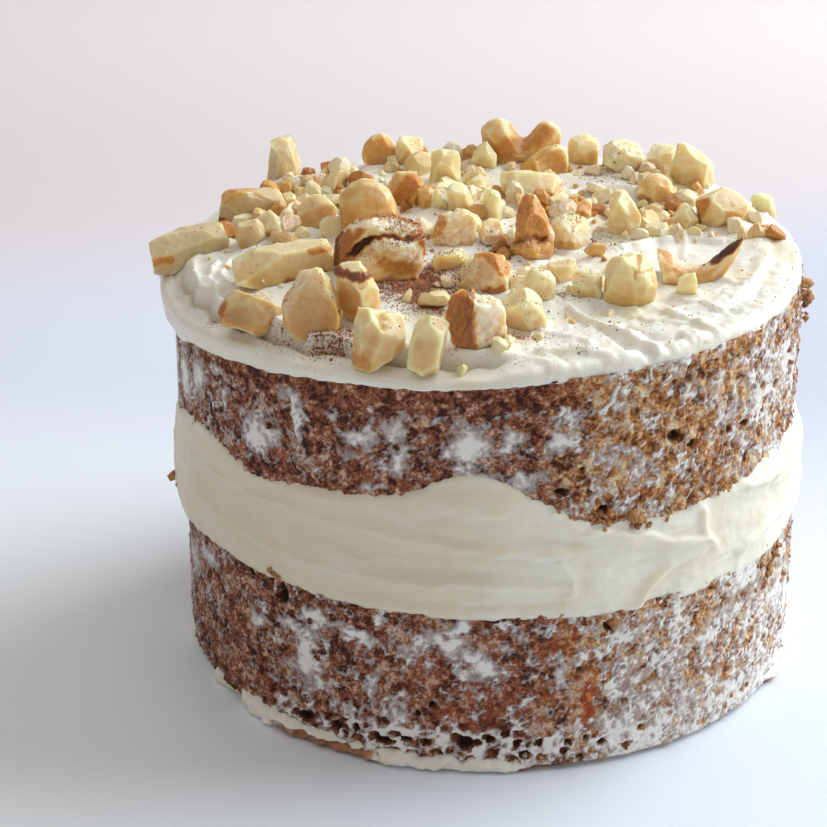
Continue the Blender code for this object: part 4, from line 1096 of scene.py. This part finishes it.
def walnut(name, seed):
    gold, rough, cuts = NUTS[name]
    points, faces, edges = remeshed(name)
    low, high = points.min(axis=0), points.max(axis=0)
    middle, half = (low + high) / 2, (high - low) / 2
    rng = np.random.default_rng(seed)
    places = points + rng.uniform(-20, 20, 3)
    if isinstance(cuts, int):
        ways = rng.normal(size=(cuts, 3)) + (0, -0.3, 0.5)
        cuts = [(way, rng.uniform(0.72, 0.92)) for way in ways]
    inside = (points - middle) / half
    for k, (way, share) in enumerate(cuts):
        way = np.array(way) / np.linalg.norm(way)
        wave = 0.07 * noise(places, 2.6, seed + 20 + k)
        inside -= np.clip(inside @ way - share - wave, 0, None)[:, None] * way
    points = middle + inside * half
    if name in SADDLES:
        at, wide, deep = SADDLES[name]
        dip = 1 - deep * np.exp(-((points[:, 0] - middle[0] - at) / wide) ** 2)
        points[:, 2] = np.where(points[:, 2] > middle[2] - half[2] * 0.4,
                                low[2] + (points[:, 2] - low[2]) * (dip + (1 - dip) * smooth_step(
                                    middle[2], low[2] + 0.6 * half[2], points[:, 2])), points[:, 2])
    if name != "curl":
        points = cleaved(points, rng, half.mean(), *((3, 0) if name in PLAIN else (5, 4)))
    normals = outward(points, faces)
    broken = 0.25 + 0.75 * smooth_step(-0.25, 0.35, noise(places, 3.0, seed + 60))
    push = 0.06 * noise(places, 2.2, seed + 10) + 0.025 * noise(places, 0.8, seed + 11)
    push += 0.22 * (splinters(places, 2.8, seed + 12) - 0.4) * (0.4 + 0.6 * rough)
    push += (0.04 + 0.36 * rough * broken) * (splinters(places, 1.0, seed + 16) - 0.35)
    across = points[:, 0] - middle[0]
    up = (points[:, 2] - middle[2]) * math.cos(VIEW_TILT) + (points[:, 1] - middle[1]) * math.sin(VIEW_TILT)
    front = smooth_step(-0.35, 0.05, normals[:, 2] * math.sin(VIEW_TILT) - normals[:, 1] * math.cos(VIEW_TILT))
    wobble = np.column_stack([0.3 * noise(places, 0.9, seed + 70), 0.3 * noise(places, 0.9, seed + 71)])
    skin = np.zeros(len(points))
    white = rough * broken * 0.8
    for corners, width, stand, brown, crumb in MARKS.get(name, ()):
        near = np.abs(from_line(np.column_stack([across, up]) + wobble, corners)) / width
        push += stand * np.exp(-near**2) * front
        here = (1 - smooth_step(0.55, 1.30, near)) * front
        skin = np.where(here > 0, skin * (1 - here) + brown * here, skin)
        white = white * (1 - here) + crumb * here
    points = points + normals * push[:, None]
    bend = ((points - spread_out(points, edges)) * outward(points, faces)).sum(axis=1)
    edge = spread_out(bend, edges, 3) / 0.012
    # Painted light and shade in the gold attribute: the flesh is painted a deeper gold low down on each piece, on the
    # left-hand pieces and in hollows, as shade, and paler on the pieces to the right and behind and along convex edges,
    # as light; the rest is each piece's own tone.
    level = (points[:, 2] - low[2] - BURY) / max(high[2] - low[2] - BURY, 1)
    pale = smooth_step(4, 20, middle[0]) + 0.6 * smooth_step(4, 24, middle[1])
    shaded = smooth_step(-10, -30, middle[0])
    deep = gold - 0.08 + 0.20 * shaded - 0.10 * min(pale, 1.2) + 0.40 * smooth_step(0.85, 0.1, level) - 0.20 * np.clip(edge, -0.3, 2.0)
    # Painted highlight: white along the sharp convex edges, where there is no skin, added to the crumbled white.
    white = np.maximum(white, 0.6 * smooth_step(0.8, 2.4, edge) * (skin < 0.3))
    deep += 0.10 * noise(places, 2.2, seed + 80)
    dust = (0.15 + 0.5 * np.clip(dust_at(points[:, :2]), 0, 0.9)) * smooth_step(0.0, 0.8, outward(points, faces)[:, 2])
    # Painted shade: the pieces at the left, away from the light, get their flesh darkened.
    shade_side_tone = np.full(len(points), 0.55 * smooth_step(-22, -33, middle[0]) + 0.2 * shaded)
    attributes = {"skin": skin, "gold": np.clip(deep, 0, 1.3), "white": np.clip(white, 0, 1), "dust": dust, "shade_side_tone": shade_side_tone}
    made = add_mesh("nut_" + name, points, faces, looks["nut"],
                    attributes)
    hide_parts("walnut_" + name)
    return made


def walnuts():
    return [walnut(name, 1000 + 100 * i) for i, name in enumerate(NUTS)]


# ---------------------------------------------------------------- small things

def pebble(rng, size, squash=1.0, detail=1):
    """The points and faces of one broken bit, about size millimetres across."""
    bm = bmesh.new()
    bmesh.ops.create_icosphere(bm, subdivisions=detail, radius=1)
    points = np.array([v.co for v in bm.verts])
    faces = [tuple(v.index for v in f.verts) for f in bm.faces]
    bm.free()
    points += rng.normal(size=points.shape) * (0.16 if detail == 1 else 0.05)
    for _ in range(6):
        way = rng.normal(size=3)
        way /= np.linalg.norm(way)
        points -= np.clip(points @ way - rng.uniform(0.35, 0.8), 0, None)[:, None] * way
    points *= rng.uniform(0.7, 1.3, 3) * size / 1.6
    turn = np.array(Matrix.Rotation(rng.uniform(0, 6.3), 3, Vector(rng.normal(size=3)).normalized()))
    points = points @ turn.T
    points[:, 2] *= squash
    return points, faces


def speck(rng, size):
    """A tiny grain: a squashed octahedron."""
    points = np.array([(1, 0, 0), (-1, 0, 0), (0, 1, 0), (0, -1, 0), (0, 0, 1), (0, 0, -1)], float)
    points *= rng.uniform(0.5, 1.3, (6, 1)) * size / 2
    faces = [(0, 2, 4), (2, 1, 4), (1, 3, 4), (3, 0, 4), (2, 0, 5), (1, 2, 5), (3, 1, 5), (0, 3, 5)]
    turn = np.array(Matrix.Rotation(rng.uniform(0, 6.3), 3, Vector(rng.normal(size=3)).normalized()))
    return points @ turn.T, faces


class Scatter:
    """Many small bodies gathered into one mesh."""

    def __init__(self):
        self.points, self.faces, self.values = [], [], {}
        self.count = 0

    def add(self, body, place, **values):
        points, faces = body
        self.points.append(points + np.asarray(place))
        self.faces.extend(tuple(self.count + i for i in f) for f in faces)
        self.count += len(points)
        for key, value in values.items():
            self.values.setdefault(key, []).append(np.full(len(points), value))

    def finish(self, name, look, smooth=False):
        values = {k: np.concatenate(v) for k, v in self.values.items()}
        return add_mesh(name, np.vstack(self.points), self.faces, look, values, smooth)


def ground(tree, x, y):
    """The height and the slope of the highest surface at a place, in millimetres."""
    hit, normal, _, _ = tree.ray_cast(Vector((x, y, 90)) * MM, Vector((0, 0, -1)))
    return (None, None) if hit is None else (hit.z / MM, normal)


def cinnamon(tree):
    """Grains of cinnamon, thick where it was sifted and stray elsewhere."""
    rng = np.random.default_rng(501)
    grains = Scatter()
    placed = 0
    while placed < 5200:
        reach, bearing = 37.5 * math.sqrt(rng.random()), rng.uniform(-180, 180)
        x, y, _ = polar(bearing, reach, 0.0)
        stray = 0.012 + 0.012 * (y < -10)
        if rng.random() > stray + 0.9 * float(dust_at(np.array([(x, y)]))[0]) ** 1.5:
            continue
        height, slope = ground(tree, x, y)
        if height is None:
            continue
        size = rng.uniform(0.09, 0.21) * (1.0 + 1.0 * (rng.random() < 0.07))
        grains.add(speck(rng, size), (x, y, height + 0.02), tone=rng.uniform(0.0, 1.0))
        placed += 1
    grains.finish("cinnamon_grains", looks["grain"])


CHIPS = [
    # Small chips of walnut that the photograph's nearer side shows: (x, y), size and how gold.
    (0.9, -34.9, 1.9, 0.1), (-2.9, -36.4, 1.6, 0.1), (2.2, -33.4, 1.5, 0.2), (12.6, -15.2, 1.7, 0.2),
    (3.6, -13.0, 1.8, 0.2), (-9.2, -20.0, 1.5, 0.3), (-31.5, 11.5, 2.4, 0.2), (33.0, 3.0, 1.8, 0.5),
    (30.4, 1.2, 1.6, 0.5), (20.4, 11.8, 2.4, 0.5), (-24.2, 27.6, 1.8, 0.8), (14.4, -11.4, 1.4, 0.3),
    (19.0, -14.5, 1.3, 0.2), (1.5, -3.4, 2.2, 0.95), (-21.8, -20.4, 1.5, 0.3), (-17.2, -8.0, 1.6, 0.5),
    (6.8, -10.4, 2.0, 0.2), (-25.6, -5.2, 1.5, 0.2), (5.4, -31.2, 1.2, 0.4), (13.4, -22.6, 1.1, 0.2),
]


def chips(tree):
    """Small chips of walnut: those that show singly, and others scattered among the pieces."""
    rng = np.random.default_rng(601)
    bits = Scatter()
    for x, y, size, gold in CHIPS:
        height, _ = ground(tree, x, y)
        bits.add(pebble(rng, size, 0.9, 2), (x, y, height + 0.22 * size), gold=gold, skin=0.6 * (gold > 0.7), white=0.3, dust=0.1)
    for k in range(1060):
        middling = k < 620
        reach, bearing = 34.5 * math.sqrt(rng.random()), rng.uniform(-180, 180)
        x, y, _ = polar(bearing, reach, 0.0)
        if y < 0 and rng.random() < 0.62 + 0.25 * middling or y < -24 and (middling or abs(x) > 10):
            continue
        height, slope = ground(tree, x, y)
        size = rng.uniform(1.0, 3.1) if middling else rng.uniform(0.35, 1.0)
        if height > 51.9 or middling and slope.z < 0.6 or x > 14 and y < 0:
            continue
        tan = rng.uniform(0.3, 0.6) * (rng.random() < 0.20) * (y > -8)
        bits.add(pebble(rng, size, 0.9, 2 if middling else 1), (x, y, height + 0.24 * size),
                 gold=rng.uniform(0.05, 0.75), skin=tan, white=rng.choice((0.0, 0.3, 0.8)), dust=rng.uniform(0, 0.3))
    bits.finish("walnut_chips", looks["chip"])


LOOSE = [
    # Crumbs of sponge that stick out of the side: (bearing, height, how far out, size).
    (-84, 21.4, 0.9, 1.5), (-81, 20.6, 0.6, 1.2), (-87, 21.8, 1.0, 0.9), (77, 48.6, 0.2, 1.6), (81, 47.2, 0.3, 1.8),
    (84, 45.9, 0.2, 1.3), (74, 49.4, 0.1, 1.1), (79, 44.8, 0.3, 1.0), (63, 17.6, 0.3, 2.0), (65, 18.8, 0.4, 1.3),
    (62, 16.2, 0.2, 1.4), (22, 18.9, 0.2, 1.4), (25, 31.0, 0.35, 1.7), (20, 31.3, 0.3, 1.3), (27.5, 30.4, 0.3, 1.2),
    (32, 31.2, 0.2, 1.1), (-39.5, 20.6, 0.3, 1.1), (12, 33.6, 0.2, 1.2), (38, 31.6, 0.2, 1.3), (44, 31.8, 0.2, 1.0),
    (60, 20.4, 0.2, 1.2), (71, 13.4, 0.2, 1.2), (170, 30.5, 0.4, 1.4), (-140, 19.0, 0.3, 1.2), (120, 47.8, 0.2, 1.3),
]


def loose_crumbs():
    rng = np.random.default_rng(701)
    bits = Scatter()
    for bearing, height, out, size in LOOSE:
        for k in range(5):
            place = polar(bearing + rng.normal() * size * 0.5, 38.0 + out + rng.normal() * 0.12 * size,
                          height + rng.normal() * size * 0.28)
            bits.add(pebble(rng, size * rng.uniform(0.35, 0.8)), place, tone=rng.uniform(0.6, 1.3))
    for _ in range(420):
        bearing = rng.uniform(-180, 180)
        upper = rng.random() < 0.5
        low, high = ((upper_base, upper_top) if upper else (foot_top, lower_top))
        height = rng.uniform(float(low(bearing)) + 0.3, float(high(bearing)) - 0.3)
        radius = float((upper_radius if upper else lower_radius)(bearing))
        if abs(turn_between(bearing, -30)) < 65:
            continue
        place = polar(bearing, radius + rng.uniform(-0.05, 0.20), height)
        bits.add(pebble(rng, rng.uniform(0.35, 0.8)), place, tone=rng.uniform(0.5, 1.2))
    bits.finish("loose_crumbs", looks["crumb"], smooth=True)


# ---------------------------------------------------------------- floor, light and camera

def floor():
    """A pale table that curves up far behind the cake."""
    look = Look("table", Roughness=0.35, Specular_IOR_Level=0.35)
    back = look.tree.nodes.new("ShaderNodeSeparateXYZ")
    look.put(back.inputs[0], look.places)
    across, away = back.outputs["X"], back.outputs["Y"]
    # Painted light and shade: the near table is painted lighter to the left, where the cake's shadow falls, and to the
    # right, darker in the middle, and darker again towards the back, most on the right; the far part turns pinkish.
    close = look.mix(look.ramp(across, -60.0, 10.0), (0.93, 0.97, 1.0), (0.80, 0.845, 0.93))
    close = look.mix(look.ramp(across, 15.0, 80.0), close, (0.89, 0.89, 0.93))
    middle = look.mix(look.ramp(across, -40.0, 60.0), (0.735, 0.755, 0.855), (0.63, 0.66, 0.77))
    near = look.mix(look.ramp(away, 10.0, 80.0), close, middle)
    far = look.mix(look.ramp(away, 170.0, 300.0), (0.765, 0.69, 0.695), (0.85, 0.775, 0.775))
    edge = look.math("SUBTRACT", away, look.math("MULTIPLY", across, 0.2))
    look.set(Base_Color=look.mix(look.ramp(edge, 108.0, 176.0), near, far))
    bm = bmesh.new()
    profile = [(-1.0, 0.0)] + [(0.62 + 0.35 * math.sin(a), 0.35 * (1 - math.cos(a)))
                               for a in np.linspace(0, math.pi / 2, 17)] + [(0.97, 1.4)]
    lines = [[bm.verts.new((x, y, z)) for y, z in profile] for x in (-2.0, 2.0)]
    for k in range(len(profile) - 1):
        bm.faces.new((lines[0][k], lines[1][k], lines[1][k + 1], lines[0][k + 1]))
    mesh = bpy.data.meshes.new("floor")
    bm.to_mesh(mesh)
    bm.free()
    mesh.polygons.foreach_set("use_smooth", np.ones(len(mesh.polygons), bool))
    mesh.materials.append(look.material)
    made = bpy.data.objects.new("floor", mesh)
    bpy.context.scene.collection.objects.link(made)


def softbox(name, place, aim, size, power, color):
    lamp = bpy.data.lights.new(name, "AREA")
    lamp.shape = "DISK"
    lamp.size = size
    lamp.energy = power
    lamp.color = color
    made = bpy.data.objects.new(name, lamp)
    made.location = place
    made.rotation_euler = (Vector(aim) - Vector(place)).to_track_quat("-Z", "Y").to_euler()
    bpy.context.scene.collection.objects.link(made)


def lights():
    world = bpy.data.worlds.new("studio")
    world.use_nodes = True
    world.node_tree.nodes["Background"].inputs["Color"].default_value = (1.0, 0.945, 0.91, 1)
    world.node_tree.nodes["Background"].inputs["Strength"].default_value = 0.375
    bpy.context.scene.world = world
    softbox("window", (0.56, 0.26, 0.46), (0, 0, 0.03), 0.78, 8.5, (0.86, 0.95, 1.0))
    softbox("above", (-0.15, -0.12, 0.80), (0, 0, 0.03), 0.70, 0.70, (0.93, 0.97, 1.0))


def camera():
    """The photograph's view: slightly above, through a long lens."""
    tilt, turn = math.radians(24.13), math.radians(-1.934)
    ahead = Vector((math.sin(turn) * math.cos(tilt), math.cos(turn) * math.cos(tilt), -math.sin(tilt)))
    right = Vector((math.cos(turn), -math.sin(turn), 0))
    lens = bpy.data.cameras.new("camera")
    lens.lens = 105
    lens.sensor_width = 36
    lens.clip_start = 0.01
    made = bpy.data.objects.new("camera", lens)
    made.matrix_world = Matrix((right, right.cross(ahead), -ahead)).transposed().to_4x4()
    made.location = (0, -0.27468, 0.15134)
    bpy.context.scene.collection.objects.link(made)
    bpy.context.scene.camera = made


looks = {"filling": filling_look(), "topping": topping_look(), "foot": foot_look(), "sponge": sponge_look(),
         "nut": nut_look(), "chip": nut_look("walnut_chip", 0.45, 0.4), "grain": grain_look(), "crumb": crumb_look()}
camera()
lights()
floor()
bpy.context.scene.view_settings.view_transform = "Standard"
sponges()
filling()
foot()
nuts = walnuts()
spread = topping(nuts)
covered = nuts_tree([*nuts, spread])
cinnamon(covered)
chips(covered)
loose_crumbs()
